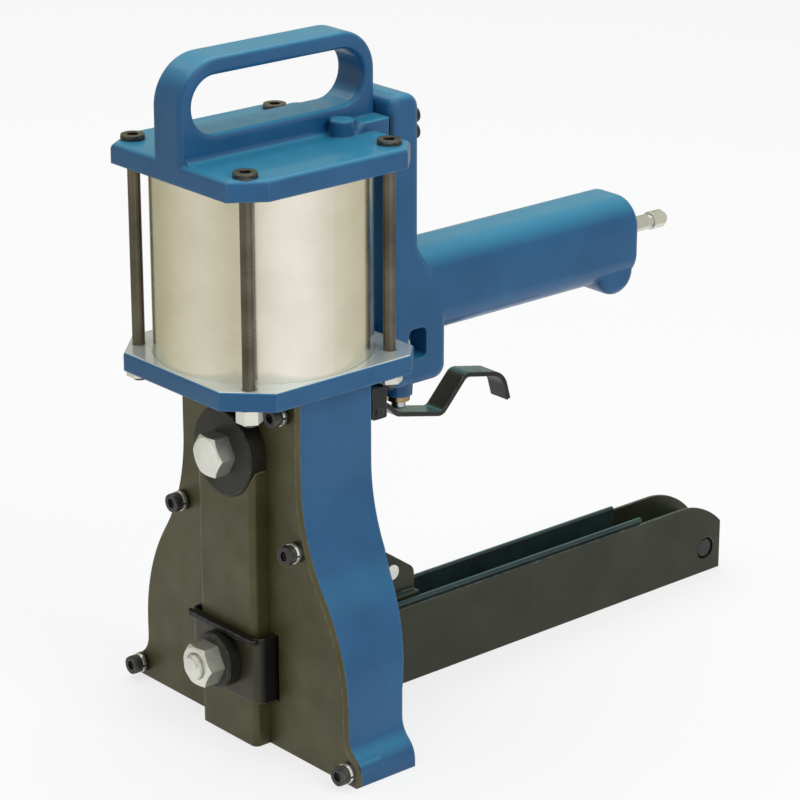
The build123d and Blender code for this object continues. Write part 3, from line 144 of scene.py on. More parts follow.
# %% [markdown]
# ### Mixing
# Two tones and a mask make most of a finish: clouds of thicker paint, rubbed edges, oil that has settled.
# A colour ramp could hold two tones as well, but a mix also takes the result of another mix, so layers
# stack up as they lie on the metal. Two masks are multiplied where wear should show only if both agree.

# %% Mixing
def blend_colours(tree, factor, first, second):
    """Mixes two colours, each a plain colour or the output of another mix."""
    node = tree.nodes.new("ShaderNodeMix")
    node.data_type = "RGBA"
    tree.links.new(factor, node.inputs[0])
    for socket, colour in ((node.inputs[6], first), (node.inputs[7], second)):
        if isinstance(colour, tuple):
            socket.default_value = (*colour, 1)
        else:
            tree.links.new(colour, socket)
    return node.outputs[2]


def clouds(tree, size, first, second, detail=3.0):
    """Two tones in clouds of about size metres."""
    lumps = spread(tree, grain(tree, size, detail=detail), 0.0, 1.0)
    return blend_colours(tree, lumps, first, second)


def multiply(tree, first, second):
    """Product of two values, each a plain number or the output of a node."""
    node = tree.nodes.new("ShaderNodeMath")
    node.operation = "MULTIPLY"
    for socket, value in zip(node.inputs, (first, second)):
        if isinstance(value, float):
            socket.default_value = value
        else:
            tree.links.new(value, socket)
    return node.outputs["Value"]


print("made the mixing helpers")

# %% [markdown]
# ### Worn edges and relief
# Handling wears a finish on its edges first. The edges could be painted by hand on every mesh. Comparing
# the true normal with a rounded one finds them all at once, because the two differ only near an edge.
# Relief is a bump, for grain far finer than any shape, and it keeps the rounded normal.

# %% Worn edges and relief
def soft_edges(tree, radius):
    """A normal that turns smoothly over the edges, and a mask that is 1 on them."""
    sharpest, flattest = 0.90, 0.995
    bevel = tree.nodes.new("ShaderNodeBevel")
    bevel.samples = 6
    bevel.inputs["Radius"].default_value = radius
    surface = tree.nodes.new("ShaderNodeNewGeometry")
    likeness = tree.nodes.new("ShaderNodeVectorMath")
    likeness.operation = "DOT_PRODUCT"
    tree.links.new(bevel.outputs["Normal"], likeness.inputs[0])
    tree.links.new(surface.outputs["Normal"], likeness.inputs[1])
    mask = spread(tree, likeness.outputs["Value"], 1.0, 0.0, sharpest, flattest)
    return bevel.outputs["Normal"], mask


def relief(tree, shader, height, depth, normal):
    """Bump of depth metres over the given normal."""
    bump = tree.nodes.new("ShaderNodeBump")
    bump.inputs["Strength"].default_value = 1.0
    bump.inputs["Distance"].default_value = depth
    tree.links.new(height, bump.inputs["Height"])
    tree.links.new(normal, bump.inputs["Normal"])
    tree.links.new(bump.outputs["Normal"], shader.inputs["Normal"])


print("made the edge and relief helpers")

# %% [markdown]
# ### Tops and levels
# Faces that look up get painted light and a painted sheen, and some pieces change at a certain height.
# Chosen faces could have a material of their own, but a rounded casting has no sharp border between top
# and side. So one mask follows the direction of the surface, and another the place of a point on the
# tool.

# %% Tops and levels
def split_xyz(tree, vector):
    """The three parts of a vector."""
    node = tree.nodes.new("ShaderNodeSeparateXYZ")
    tree.links.new(vector, node.inputs["Vector"])
    return node.outputs


def top_light_mask(tree, start, most):
    """A mask from 0, where the normal's upward share is start, to most on level tops, for painted light
    on them.
    """
    surface = tree.nodes.new("ShaderNodeNewGeometry")
    return spread(tree, split_xyz(tree, surface.outputs["Normal"])["Z"], 0.0, most, start, 1.0)


def place_on_tool(tree):
    """Where a point lies on the tool, in metres, as X, Y and Z."""
    return split_xyz(tree, tree.nodes.new("ShaderNodeTexCoord").outputs["Object"])


print("made the masks for tops and levels")

# %% [markdown]
# ## Cut face under the tube, with a painted reflection
# The tube stands on a face of the frame that was cut flat after spraying. There the bare metal is half
# metallic, and its pale, mostly matte tone is a painted reflection of the tube, so that the tube seems to
# run on down to the rim of the plate. It could be a thin sheet laid on the plate, but the real plate has
# no such piece. A mask by height turns the enamel into metal instead, and takes its orange peel away.

# %% Cut face under the tube, with a painted reflection
def cut_face_painted_reflection(tree, shader, level, colour, rough, peel):
    """Bare metal at a level, in pale tones painted as the reflection of the tube; gives back the colour,
    roughness and orange peel with it.
    """
    # pale, mostly matte tones: the painted reflection of the tube on the cut face
    dull, bright, cloud_size = (0.72, 0.80, 0.80), (0.80, 0.86, 0.85), 0.020
    metal_share, rough_share = 0.55, 0.45
    enamel_ends, metal_starts = level - 0.0003, level - 0.0001
    bare = spread(tree, place_on_tool(tree)["Z"], 0.0, 1.0, enamel_ends, metal_starts)
    tree.links.new(multiply(tree, bare, metal_share), shader.inputs["Metallic"])
    colour = blend_colours(tree, bare, colour, clouds(tree, cloud_size, dull, bright))
    rough = multiply(tree, rough, spread(tree, bare, 1.0, rough_share, 0.0, 1.0))
    peel = multiply(tree, peel, spread(tree, bare, 1.0, 0.0, 0.0, 1.0))
    return colour, rough, peel


base_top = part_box("frame_casting")[1].z
print("cut face lies", round(base_top * 1000, 1), "mm above the foot")

# %% [markdown]
# ## Blue enamel
# The castings are aluminium under a sprayed blue enamel. Sprayed paint has a faint orange peel about a
# millimetre across, a glossy skin and slow changes of shade where it lies thicker. The faces that look up
# are painted paler and more cyan, as painted light from above. On edges it is thin and rubs paler. One
# flat blue with some gloss would do from afar, and looks like plastic close to. So the shades are layered
# as they lie on the metal, and the skin is the shader's coat, which gives the hard reflection on top.

# %% Blue enamel
def blue_enamel(name, cut_level=None):
    """Sprayed enamel with painted light on its tops; a flat top at the cut level is bare metal with a
    painted reflection.
    """
    material, tree, shader = new_finish(name, metal=0.0, gloss_weight=0.22)
    deep, bright = (0.009, 0.085, 0.207), (0.014, 0.106, 0.248)
    painted_top_light, rubbed = (0.038, 0.325, 0.500), (0.10, 0.22, 0.34)
    cloud_size, wear_size, gloss_size = 0.030, 0.004, 0.012
    peel_size, peel_depth = 0.0012, 0.00006
    normal, edge = soft_edges(tree, radius=0.0012)
    colour = clouds(tree, cloud_size, deep, bright)
    # painted light: faces that look up turn paler and more cyan
    colour = blend_colours(tree, top_light_mask(tree, start=0.45, most=0.75), colour, painted_top_light)
    wear = multiply(tree, edge, spread(tree, grain(tree, wear_size), 0.15, 0.75))
    colour = blend_colours(tree, wear, colour, rubbed)
    rough = spread(tree, grain(tree, gloss_size), 0.30, 0.42)
    peel = grain(tree, peel_size, detail=1.0)
    if cut_level:
        colour, rough, peel = cut_face_painted_reflection(tree, shader, cut_level, colour, rough, peel)
    tree.links.new(colour, shader.inputs["Base Color"])
    tree.links.new(rough, shader.inputs["Roughness"])
    shader.inputs["Coat Weight"].default_value = 0.30
    shader.inputs["Coat Roughness"].default_value = 0.08
    relief(tree, shader, peel, peel_depth, normal)
    return material


finishes["blue_enamel"] = blue_enamel("blue_enamel")
finishes["cut_enamel_painted_light"] = blue_enamel("cut_enamel_painted_light", base_top)
print("made", " and ".join(finishes))

# %% [markdown]
# ## Painted shadow on the rims of the strap
# The strap near the foot is bent round the channel. The lip along its top and its two sides lie in shade
# where the strap stands off the channel, and are painted black as painted shadow, which draws its
# outline.
# They could be separate pieces, but the strap is one bent sheet. So its tone turns black above a height,
# and further out than a half width.

# %% Painted shadow on the rims of the strap
def painted_shadow_rims(tree, colour, height, half_width):
    """Paints shadow black on what lies above a height or further out than a half width."""
    painted_shadow_black, blur = (0.005, 0.005, 0.005), 0.0004
    place = place_on_tool(tree)
    across = tree.nodes.new("ShaderNodeMath")
    across.operation = "ABSOLUTE"
    tree.links.new(place["X"], across.inputs[0])
    # painted shadow: the lip above a height and the sides beyond a half width turn near black
    for value, level in ((place["Z"], height), (across.outputs["Value"], half_width)):
        beyond = spread(tree, value, 0.0, 1.0, level - blur, level + blur)
        colour = blend_colours(tree, beyond, colour, painted_shadow_black)
    return colour


strap_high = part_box("depth_strap")[1]
lip_depth, side_skin = 0.0026, 0.0008
strap_shadow_rims = (strap_high.z - lip_depth, strap_high.x - side_skin)
print("strap is black from", round(strap_shadow_rims[0] * 1000, 1), "mm up and",
      round(strap_shadow_rims[1] * 1000, 1), "mm out")

# %% [markdown]
# ## Blackened steel
# Plates, channel and magazine are sheet steel, blackened and oiled. The oil leaves a warm olive cast and
# soft clouds of more and less shine. Bare steel shows as a thin pale line along cut edges, and the same
# pale line is a painted highlight along the bends. On the lever and the magazine the faces that look up
# are tinted bluish, a painted sheen for the reflection of the light above and of the blue casting. A
# plain black would swallow the shapes; it is these small differences that let a dark piece be read.

# %% Blackened steel
def blackened_steel(name, dark, light, rough, painted_top_sheen=None, rims=None):
    """Blackened sheet; the next to last argument is the tone of a painted sheen on tops, and the last the
    height and half width of rims painted black as shadow.
    """
    material, tree, shader = new_finish(name, metal=0.35)
    bare_edge_and_highlight = (0.30, 0.29, 0.26)
    cloud_size, wear_size, shine_size, shine_range = 0.022, 0.003, 0.009, 0.13
    skin_size, skin_depth = 0.0006, 0.00002
    normal, edge = soft_edges(tree, radius=0.0006)
    colour = clouds(tree, cloud_size, dark, light, detail=5.0)
    # painted sheen: tops tinted bluish for the reflection of the light above and the blue casting
    if painted_top_sheen:
        colour = blend_colours(tree, top_light_mask(tree, start=0.85, most=1.0), colour, painted_top_sheen)
    # painted shadow: rims above a height and beyond a half width turn near black
    if rims:
        colour = painted_shadow_rims(tree, colour, *rims)
    # pale cut edges: real bare steel, and also a painted highlight along the bends
    wear = multiply(tree, edge, spread(tree, grain(tree, wear_size), 0.0, 0.6))
    tree.links.new(blend_colours(tree, wear, colour, bare_edge_and_highlight), shader.inputs["Base Color"])
    shine = spread(tree, grain(tree, shine_size, detail=4.0), rough, rough + shine_range)
    tree.links.new(shine, shader.inputs["Roughness"])
    relief(tree, shader, grain(tree, skin_size), skin_depth, normal)
    return material


print("made the recipe for blackened steel")

# %% [markdown]
# ### Tones of black
# No two pieces come out of the bath alike. The front plate and its channel are the palest, the strap is
# a shade darker, and the boss and the lever are nearly black. Each could have a recipe of its own, but
# only a few values differ, so they stand in a table, and a loop makes them all.

# %% Tones of black
# the fifth column is the tone of a painted sheen on tops; the bluish rail tones paint a reflection too
for name, dark, light, rough, painted_top_sheen, rims in (
    ("blackened_steel", (0.058, 0.052, 0.013), (0.085, 0.077, 0.028), 0.36, None, None),
    ("magazine_black_painted_sheen", (0.016, 0.020, 0.007), (0.028, 0.032, 0.015), 0.34, (0.050, 0.090, 0.080), None),
    ("boss_black", (0.009, 0.009, 0.005), (0.018, 0.017, 0.011), 0.38, None, None),
    ("lever_black_painted_sheen", (0.008, 0.010, 0.009), (0.016, 0.019, 0.016), 0.22, (0.060, 0.220, 0.250), None),
    ("rail_black_painted_sheen", (0.020, 0.036, 0.038), (0.034, 0.058, 0.062), 0.20, (0.060, 0.180, 0.200), None),
    ("black_oxide", (0.012, 0.012, 0.012), (0.030, 0.029, 0.027), 0.30, None, None),
    ("strap_black_painted_shadow", (0.037, 0.032, 0.014), (0.052, 0.045, 0.024), 0.38, None, strap_shadow_rims),
):
    finishes[name] = blackened_steel(name, dark, light, rough, painted_top_sheen, rims)
print("made", len(finishes), "finishes so far")

# %% [markdown]
# ## Turned and plated metals
# The cylinder tube is honed steel with fine rings round it and a warm tone, as pale as straw. Zinc plate
# on nuts and the air plug is bright with a milky bloom that scatters light. Ground steel, spring wire,
# brass and aluminium differ in tone and in the direction of their scratches. An anisotropic shader could
# draw such scratches out too, but it needs a direction on every face. Noise that is stretched along an
# axis of the tool needs none, so one recipe with a few values makes all these metals.

# %% Turned and plated metals
def bare_metal(name, metal, dark, light, rough, scratch_size, stretch, scratch_depth):
    """Metal with clouds of two tones and fine scratches that run the way of the stretch."""
    material, tree, shader = new_finish(name, metal)
    cloud_size, edge_shine, rough_range = 0.018, 0.5, 0.05
    normal, edge = soft_edges(tree, radius=0.0004)
    scratches = grain(tree, scratch_size, stretch, detail=2.0)
    colour = clouds(tree, cloud_size, dark, light, detail=4.0)
    colour = blend_colours(tree, multiply(tree, edge, edge_shine), colour, light)
    tree.links.new(colour, shader.inputs["Base Color"])
    tree.links.new(spread(tree, scratches, rough, rough + rough_range), shader.inputs["Roughness"])
    relief(tree, shader, scratches, scratch_depth, normal)
    return material


around, along, even = (0.02, 0.02, 1), (1, 0.05, 1), (1, 1, 1)
for name, metal, dark, light, rough, size, stretch, depth in (
    ("tube_steel", 1.0, (0.77, 0.73, 0.63), (0.83, 0.79, 0.70), 0.18, 0.0005, around, 0.0000005),
    ("zinc_plate", 0.8, (0.61, 0.61, 0.55), (0.77, 0.77, 0.70), 0.21, 0.0030, even, 0.000003),
    ("bright_steel", 1.0, (0.42, 0.42, 0.42), (0.60, 0.60, 0.59), 0.24, 0.0008, along, 0.000003),
    ("rod_steel", 1.0, (0.098, 0.088, 0.069), (0.162, 0.144, 0.115), 0.26, 0.0008, even, 0.000002),
    ("spring_steel", 1.0, (0.30, 0.30, 0.31), (0.48, 0.48, 0.48), 0.26, 0.0006, even, 0.000003),
    ("brass", 1.0, (0.24, 0.17, 0.09), (0.42, 0.31, 0.16), 0.26, 0.0006, around, 0.000002),
    ("piston_aluminium", 1.0, (0.66, 0.67, 0.68), (0.80, 0.80, 0.81), 0.25, 0.0006, around, 0.000003),
):
    finishes[name] = bare_metal(name, metal, dark, light, rough, size, stretch, depth)
print("made", len(finishes), "finishes so far")

# %% [markdown]
# ## Rubber
# Seals, gaskets and the bumper are moulded rubber: nearly black, dull, with a fine pitted skin. Most of
# it is hidden in the tool, and a plain black could do. The pits and a pale bloom on the edges keep it
# apart from the black steel wherever it can be seen.

# %% Rubber
def seal_rubber():
    """Dull black rubber with a pale bloom on its edges."""
    material, tree, shader = new_finish("seal_rubber", metal=0.0, gloss_weight=0.4)
    dark, light, bloom = (0.012, 0.012, 0.012), (0.030, 0.029, 0.028), (0.06, 0.06, 0.06)
    cloud_size, dull_size, bloom_share = 0.006, 0.003, 0.4
    pit_size, pit_depth = 0.0004, 0.00003
    normal, edge = soft_edges(tree, radius=0.0006)
    colour = clouds(tree, cloud_size, dark, light)
    colour = blend_colours(tree, multiply(tree, edge, bloom_share), colour, bloom)
    tree.links.new(colour, shader.inputs["Base Color"])
    tree.links.new(spread(tree, grain(tree, dull_size), 0.60, 0.80), shader.inputs["Roughness"])
    relief(tree, shader, grain(tree, pit_size), pit_depth, normal)
    return material


finishes["seal_rubber"] = seal_rubber()
print("made", len(finishes), "finishes in all")

# %% [markdown]
# ## Dressing the solid pieces
# Each piece names its material slot in the record, and the finish of that name goes on it. That could be
# done by hand, piece by piece; a loop over the record forgets none. A few blackened pieces came out of
# the bath darker than the plates, the lever and the magazine carry a painted sheen on their tops, the
# strap painted shadow on its rims, and the long tie bolts are lighter than the small screws, so these
# take a tone of their own. So does the frame, with its bare top and the painted reflection on it.

# %% Dress the solid pieces
own_tones = {
    "cut_enamel_painted_light": ("frame_casting",),
    "magazine_black_painted_sheen": ("magazine_channel", "staple_core", "pusher"),
    "rail_black_painted_sheen": ("magazine_rails",),
    "black_oxide": ("magazine_end_pin",),
    "strap_black_painted_shadow": ("depth_strap",),
    "boss_black": ("strap_collar", "guide_boss"),
    "lever_black_painted_sheen": ("trigger_lever", "trigger_bracket"),
    "rod_steel": ("tie_bolts",),
}
tone_of = {node: tone for tone, group in own_tones.items() for node in group}
subparts = frame["record"]["subparts"]
for part in subparts:
    mesh = nodes[part["node"]].data
    mesh.materials.clear()
    mesh.materials.append(finishes[tone_of.get(part["node"], part["material_slot"])])
print("dressed", len(subparts), "pieces,", len(tone_of), "of them in a tone of their own")

# %% [markdown]
# ## Fine metalwork
# The solids leave out what is finer than about half a millimetre: knurls, threads, bevels, the turns of
# a roll. Each is a small mesh of its own here. The places of the screws could be written down once more,
# but measured on the solids they stay right when a size changes. Points at one place, or joined by an
# edge, belong to one solid, and its box is the box of them all.

# %% Boxes of separate solids
def solids_of(node):
    """The box of each separate solid of a node, as (low corner, high corner)."""
    mesh = nodes[node].data
    micrometre_digits = 6
    spots, leader, own = {}, [], []
    for vertex in mesh.vertices:
        spot = tuple(round(value, micrometre_digits) for value in vertex.co)
        if spot not in spots:
            spots[spot] = len(leader)
            leader.append(len(leader))
        own.append(spots[spot])

    def top(index):
        """The leader of the group that a spot belongs to."""
        while leader[index] != index:
            index = leader[index]
        return index

    for edge in mesh.edges:
        leader[top(own[edge.vertices[0]])] = top(own[edge.vertices[1]])
    boxes = {}
    for spot, index in spots.items():
        low, high = boxes.setdefault(top(index), (list(spot), list(spot)))
        for axis in range(3):
            low[axis] = min(low[axis], spot[axis])
            high[axis] = max(high[axis], spot[axis])
    return [(Vector(low), Vector(high)) for low, high in boxes.values()]


plate_screws, tie_bolts = solids_of("plate_screws"), solids_of("tie_bolts")
print("measured", len(plate_screws), "plate screws and", len(tie_bolts), "tie bolts")

# %% [markdown]
# ### Meshes round an axis
# Every one of these small pieces is a shape round an axis: a ring, a ridge or a winding. The Screw
# modifier also turns an outline round an axis, but it can't let a ridge run out or bevel a hexagon. So
# one helper gives a point by its radius, its turn and its rise along the axis, one gives the four-sided
# faces between two rows of points, and one makes the piece and lets it ride on a body.

# %% Meshes round an axis
def around_axis(centre, out, radius, turn, rise):
    """A point at a radius and a turn about an axis through centre, and a rise along it."""
    side = Vector((1, 0, 0)) if abs(out.x) < 0.5 else Vector((0, 1, 0))
    other = out.cross(side)
    return centre + side * (radius * math.cos(turn)) + other * (radius * math.sin(turn)) + out * rise


def band(below, above, per_row):
    """Quads between two closed rows of points, given the first point of each."""
    quads = []
    for step in range(per_row):
        after = (step + 1) % per_row
        quads.append((below + step, below + after, above + after, above + step))
    return quads


def ring_faces(rows, per_row, first=0):
    """Quads along rows that follow each other, and from the last row back to the first."""
    faces = []
    for row in range(rows):
        faces += band(first + row * per_row, first + (row + 1) % rows * per_row, per_row)
    return faces


def add_piece(name, points, faces, finish, body):
    """A mesh piece in metres that moves with a body."""
    mesh = bpy.data.meshes.new(name)
    mesh.from_pydata([tuple(point) for point in points], [], faces)
    mesh.materials.append(finishes[finish])
    piece = bpy.data.objects.new(name, mesh)
    bpy.context.scene.collection.objects.link(piece)
    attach(piece, body)
    return piece


print("made the mesh helpers")

# %% [markdown]
# ### Knurled rims
# A knurl is rolled into the rim of a screw head between two hard wheels, for turning the screw by hand
# until it bites. It leaves small ridges along the screw. A bump in the finish could draw them, but the
# outline of the head would stay smooth. So they are a mesh: a ring of ridges that rise an eighth of a
# millimetre is laid round each head and sinks a little into it.

# %% Knurled rims
ridges, ridge_rise, valley_rise = 40, 0.00013, 0.00002
rim_edge, rim_sink, rim_clear = 0.00030, 0.00015, 0.0003


def knurl(points, faces, centre, out, radius, low, high):
    """Adds a ring of ridges round a head, from rise low to rise high."""
    first = len(points)
    rows = ((low, 0.0), (low + rim_edge, 1.0), (high - rim_edge, 1.0), (high, 0.0))
    for rise, share in rows:
        for step in range(2 * ridges):
            crest = ridge_rise if step % 2 else valley_rise
            reach = radius + share * crest - (1 - share) * rim_sink
            points.append(around_axis(centre, out, reach, math.pi * step / ridges, rise))
    faces += ring_faces(len(rows), 2 * ridges, first)


print("a knurl has", ridges, "ridges")

# %% [markdown]
# ### Knurls of the plate screws and tie bolts
# The six screws of the front plate point forwards, and a knurl covers each head from its washer nearly
# to its face. The heads of the four tie bolts point up, and only the upper part of each stands clear of
# the head plate. All the rims of a kind could be separate pieces. They never move apart, so each kind is
# one mesh.

# %% Knurls of the plate screws and tie bolts
front, up = Vector((0, -1, 0)), Vector((0, 0, 1))
points, faces = [], []
washer_front, washer_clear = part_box("plate_spring_washers")[0].y, 0.0004
for low, high in plate_screws:
    seat = Vector(((low.x + high.x) / 2, washer_front, (low.z + high.z) / 2))
    rim_top = washer_front - low.y - rim_clear
    knurl(points, faces, seat, front, (high.x - low.x) / 2, washer_clear, rim_top)
add_piece("plate_screw_knurls", points, faces, "black_oxide", "frame")

points, faces = [], []
tie_rim_depth = 0.0018
for low, high in tie_bolts:
    head_top = Vector(((low.x + high.x) / 2, (low.y + high.y) / 2, high.z))
    knurl(points, faces, head_top, up, (high.x - low.x) / 2, -tie_rim_depth, -rim_clear)
# knurls darker than their rod steel heads: a painted ring of shade where each head sinks into the plate
add_piece("tie_bolt_knurls", points, faces, "black_oxide", "frame")
print("knurled", len(plate_screws) + len(tie_bolts), "heads")

# %% [markdown]
# ### Hexagons
# The bolt at the top of the channel and the nut on the strap are the brightest pieces of the front. A
# hexagon is cut from a turned bar whose face is bevelled at thirty degrees, and the bevel leaves a curved
# line on every flat. The Bevel modifier would leave a straight one. So each ring of points follows the
# hexagon, and drops below the face by as much as the hexagon reaches beyond the bevel's circle.

# %% Hexagons
hex_steps, bevel_slope, face_share = 60, math.tan(math.radians(30)), 0.94


def hexagon_reach(turn, flats):
    """Distance from the axis to a hexagon's side at a turn, with a corner at turn 0."""
    from_flat = turn % (math.pi / 3) - math.pi / 6
    return flats / 2 / math.cos(from_flat)


def hexagon_rings(centre, out, flats, height):
    """Three rings of a head: its seat, where the bevel meets the flats, and the rim of its face."""
    rim = face_share * flats / 2
    seat, shoulder, face = [], [], []
    for step in range(hex_steps):
        turn = 2 * math.pi * step / hex_steps
        reach = hexagon_reach(turn, flats)
        seat.append(around_axis(centre, out, reach, turn, 0.0))
        shoulder.append(around_axis(centre, out, reach, turn, height - (reach - rim) * bevel_slope))
        face.append(around_axis(centre, out, rim, turn, height))
    return [seat, shoulder, face]


def circle(centre, out, radius, rise):
    """A ring of points about an axis."""
    turns = [2 * math.pi * step / hex_steps for step in range(hex_steps)]
    return [around_axis(centre, out, radius, turn, rise) for turn in turns]


def joined(rings):
    """The points of all rings in one list."""
    return [point for ring in rings for point in ring]


print("the bevel's circle is", face_share, "of the width across flats")

# %% [markdown]
# ### Bolt at the top of the channel
# The bolt is one turned piece: a shank that goes through the boss, and a head that sits on it. The solid
# tapers a little over the whole length of its head, where the real one has a bevel, so the bolt is built
# anew. Two cylinders could be joined by a Boolean, which leaves long thin faces. Rings that follow each
# other from the tail to the face need no cutting, and a cap closes both ends.

# %% Bolt at the top of the channel
def tube_faces(rows, per_row, first=0):
    """Quads along rows that follow each other, with a cap at both ends."""
    faces = []
    for row in range(rows - 1):
        faces += band(first + row * per_row, first + (row + 1) * per_row, per_row)
    faces.append(tuple(first + step for step in reversed(range(per_row))))
    faces.append(tuple(first + (rows - 1) * per_row + step for step in range(per_row)))
    return faces


bolt_low, bolt_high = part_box("guide_bolt")
bolt_flats, shank_share = bolt_high.z - bolt_low.z, 0.30
boss_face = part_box("guide_boss")[0].y
bolt_seat = Vector((0, boss_face, (bolt_low.z + bolt_high.z) / 2))
shank_radius = shank_share * bolt_flats
bolt_rings = [
    circle(bolt_seat, front, shank_radius, boss_face - bolt_high.y),
    circle(bolt_seat, front, shank_radius, 0.0),
    *hexagon_rings(bolt_seat, front, bolt_flats, boss_face - bolt_low.y),
]
bolt_faces = tube_faces(len(bolt_rings), hex_steps)
bolt_piece = add_piece("guide_bolt_hexagon", joined(bolt_rings), bolt_faces,
                       "zinc_plate", "frame")
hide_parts("guide_bolt")
print("bolt of", round(bolt_flats * 1000, 1), "mm across flats")

# %% [markdown]
# ### Nut on the strap
# The nut holds the strap, and its stud stands out of it. A nut is open in the middle, so its rings don't
# end in caps: they run from the bore at its seat round the outside to the face, and back down the bore.
# A small countersink, which leads a bolt in, needs just one ring more.

# %% Nut on the strap
nut_low, nut_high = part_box("strap_nut")
stud_low, stud_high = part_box("strap_stud")
stud_radius = (stud_high.x - stud_low.x) / 2
nut_flats, nut_height = nut_high.z - nut_low.z, nut_high.y - nut_low.y
nut_seat = Vector((0, nut_high.y, (nut_low.z + nut_high.z) / 2))
bore_gap, countersink = 0.00005, 0.0006
bore = stud_radius + bore_gap
nut_rings = [
    circle(nut_seat, front, bore, 0.0),
    *hexagon_rings(nut_seat, front, nut_flats, nut_height),
    circle(nut_seat, front, bore + countersink, nut_height),
    circle(nut_seat, front, bore, nut_height - countersink),
]
nut_faces = ring_faces(len(nut_rings), hex_steps)
nut_piece = add_piece("strap_nut_hexagon", joined(nut_rings), nut_faces,
                      "zinc_plate", "frame")
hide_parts("strap_nut")
print("nut of", round(nut_flats * 1000, 1), "mm across flats")

# %% [markdown]
# ### Thread of the stud
# The stud ends in a short piece of thread beyond its nut. A stack of rings would pass for a thread from
# afar. A real one is a single ridge that winds round the rod, one pitch further along with every turn,
# and runs out to nothing at both ends, as it does where a die starts and stops. Winding it point by
# point shows that run-out.

# %% Thread of the stud
turn_steps, run_out, pitch = 28, 6, 0.0008
thread_rise, thread_sink, flank = 0.00022, 0.00020, 0.42


def thread(points, faces, centre, out, radius, low, high):
    """Adds a ridge that winds round a rod from rise low to rise high."""
    first = len(points)
    steps = int(turn_steps * (high - low) / pitch)
    for step in range(steps + 1):
        share = min(1.0, step / run_out, (steps - step) / run_out)
        turn, rise = 2 * math.pi * step / turn_steps, low + pitch * step / turn_steps
        profile = ((-thread_sink, -flank), (share * thread_rise, 0.0), (-thread_sink, flank))
        for reach, lean in profile:
            points.append(around_axis(centre, out, radius + reach, turn, rise + lean * pitch))
    faces += tube_faces(steps + 1, len(profile), first)


points, faces = [], []
stud_end = Vector((0, stud_low.y, (stud_low.z + stud_high.z) / 2))
past_nut, stud_tip = nut_low.y - stud_low.y, 0.0011
thread(points, faces, stud_end, front, stud_radius, -past_nut, -stud_tip)
add_piece("stud_thread", points, faces, "zinc_plate", "frame")
print("stud stands", round(past_nut * 1000, 2), "mm out of its nut")

# %% [markdown]
# ### Threads of the tie bolts
# The four tie bolts clamp the tube, and a nut under the base plate holds each of them. Their threads are
# wound as the stud's is, downwards from the nuts. The rods are thinner than their heads, so the radius
# is measured at the lower tip of a rod.

# %% Threads of the tie bolts
points, faces = [], []
tie_low, tip_slice, rod_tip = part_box("tie_bolts")[0].z, 0.00001, 0.0003
past_tie_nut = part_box("tie_nuts")[0].z - tie_low
tie_points = [vertex.co for vertex in nodes["tie_bolts"].data.vertices]
right_tips = [point.x for point in tie_points if point.z < tie_low + tip_slice and point.x > 0]
rod_radius = (max(right_tips) - min(right_tips)) / 2
for low, high in solids_of("tie_nuts"):
    rod_end = Vector(((low.x + high.x) / 2, (low.y + high.y) / 2, tie_low))
    thread(points, faces, rod_end, -up, rod_radius, -past_tie_nut, -rod_tip)
add_piece("tie_bolt_threads", points, faces, "rod_steel", "frame")
print("rods of radius", round(rod_radius * 1000, 2), "mm stand",
      round(past_tie_nut * 1000, 2), "mm out of their nuts")

# %% [markdown]
# ### Rolled spring of the pusher
# The pusher is drawn forward by a roll spring: a thin strip of spring steel set so that it curls up by
# itself. The solid of the roll is a plain ring. A spiral curve with a width could show the strip it is,
# but here its four corners are worked out step by step, which keeps its thickness even and its ends
# square. It is wound in eight turns with a hair's breadth between them.

# %% Rolled spring
roll_low, roll_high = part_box("pusher_spring")
roll_middle, roll_half = (roll_low + roll_high) / 2, (roll_high.x - roll_low.x) / 2
roll_turns, steps_per_turn, strip = 8, 40, 0.00026
roll_steps, sideways = steps_per_turn * roll_turns, Vector((1, 0, 0))
roll_points = [vertex.co - roll_middle for vertex in nodes["pusher_spring"].data.vertices]
inner_radius = min(point.yz.length for point in roll_points) + strip / 2
outer_radius = (roll_high.z - roll_low.z) / 2 - strip / 2
points = []
for step in range(roll_steps + 1):
    turn = 2 * math.pi * roll_turns * step / roll_steps
    radius = inner_radius + (outer_radius - inner_radius) * step / roll_steps
    for out_by, side in ((-1, -1), (1, -1), (1, 1), (-1, 1)):
        reach = radius + out_by * strip / 2
        points.append(around_axis(roll_middle, sideways, reach, turn, side * roll_half))
rolled = add_piece("pusher_spring_turns", points, tube_faces(roll_steps + 1, 4),
                   "spring_steel", "pusher")
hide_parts("pusher_spring")
print("rolled", roll_turns, "turns in a ring of", round((2 * outer_radius + strip) * 1000, 1), "mm")

# %% [markdown]
# ### Coil springs
# One spring lifts the piston after the stroke, and a small one closes the valve. Both are round wire
# wound on a mandrel, and both have to shorten as their joint moves. A curve with a round bevel would
# give the same wire. Here each is wound as a mesh tube along a helix, in the place of its solid, and the
# travel of its joint is printed.

# %% Coil springs
ranges = {joint["name"]: joint.get("range_m") for joint in frame["record"]["behaviour"]["joints"]}
coil_turns, round_steps, wire_steps = 5, 32, 10


def helix_tube(foot, radius, wire, climb):
    """Points of a wire wound upwards from a foot, which climbs by so much for each radian."""
    points = []
    for step in range(round_steps * coil_turns + 1):
        turn = 2 * math.pi * step / round_steps
        outward = Vector((math.cos(turn), math.sin(turn), 0))
        ahead = Vector((-radius * math.sin(turn), radius * math.cos(turn), climb)).normalized()
        upward = ahead.cross(outward)
        middle_of_wire = foot + outward * radius + Vector((0, 0, wire + climb * turn))
        for wire_step in range(wire_steps):
            wire_turn = 2 * math.pi * wire_step / wire_steps
            spoke = outward * math.cos(wire_turn) + upward * math.sin(wire_turn)
            points.append(middle_of_wire + spoke * wire)
    return points


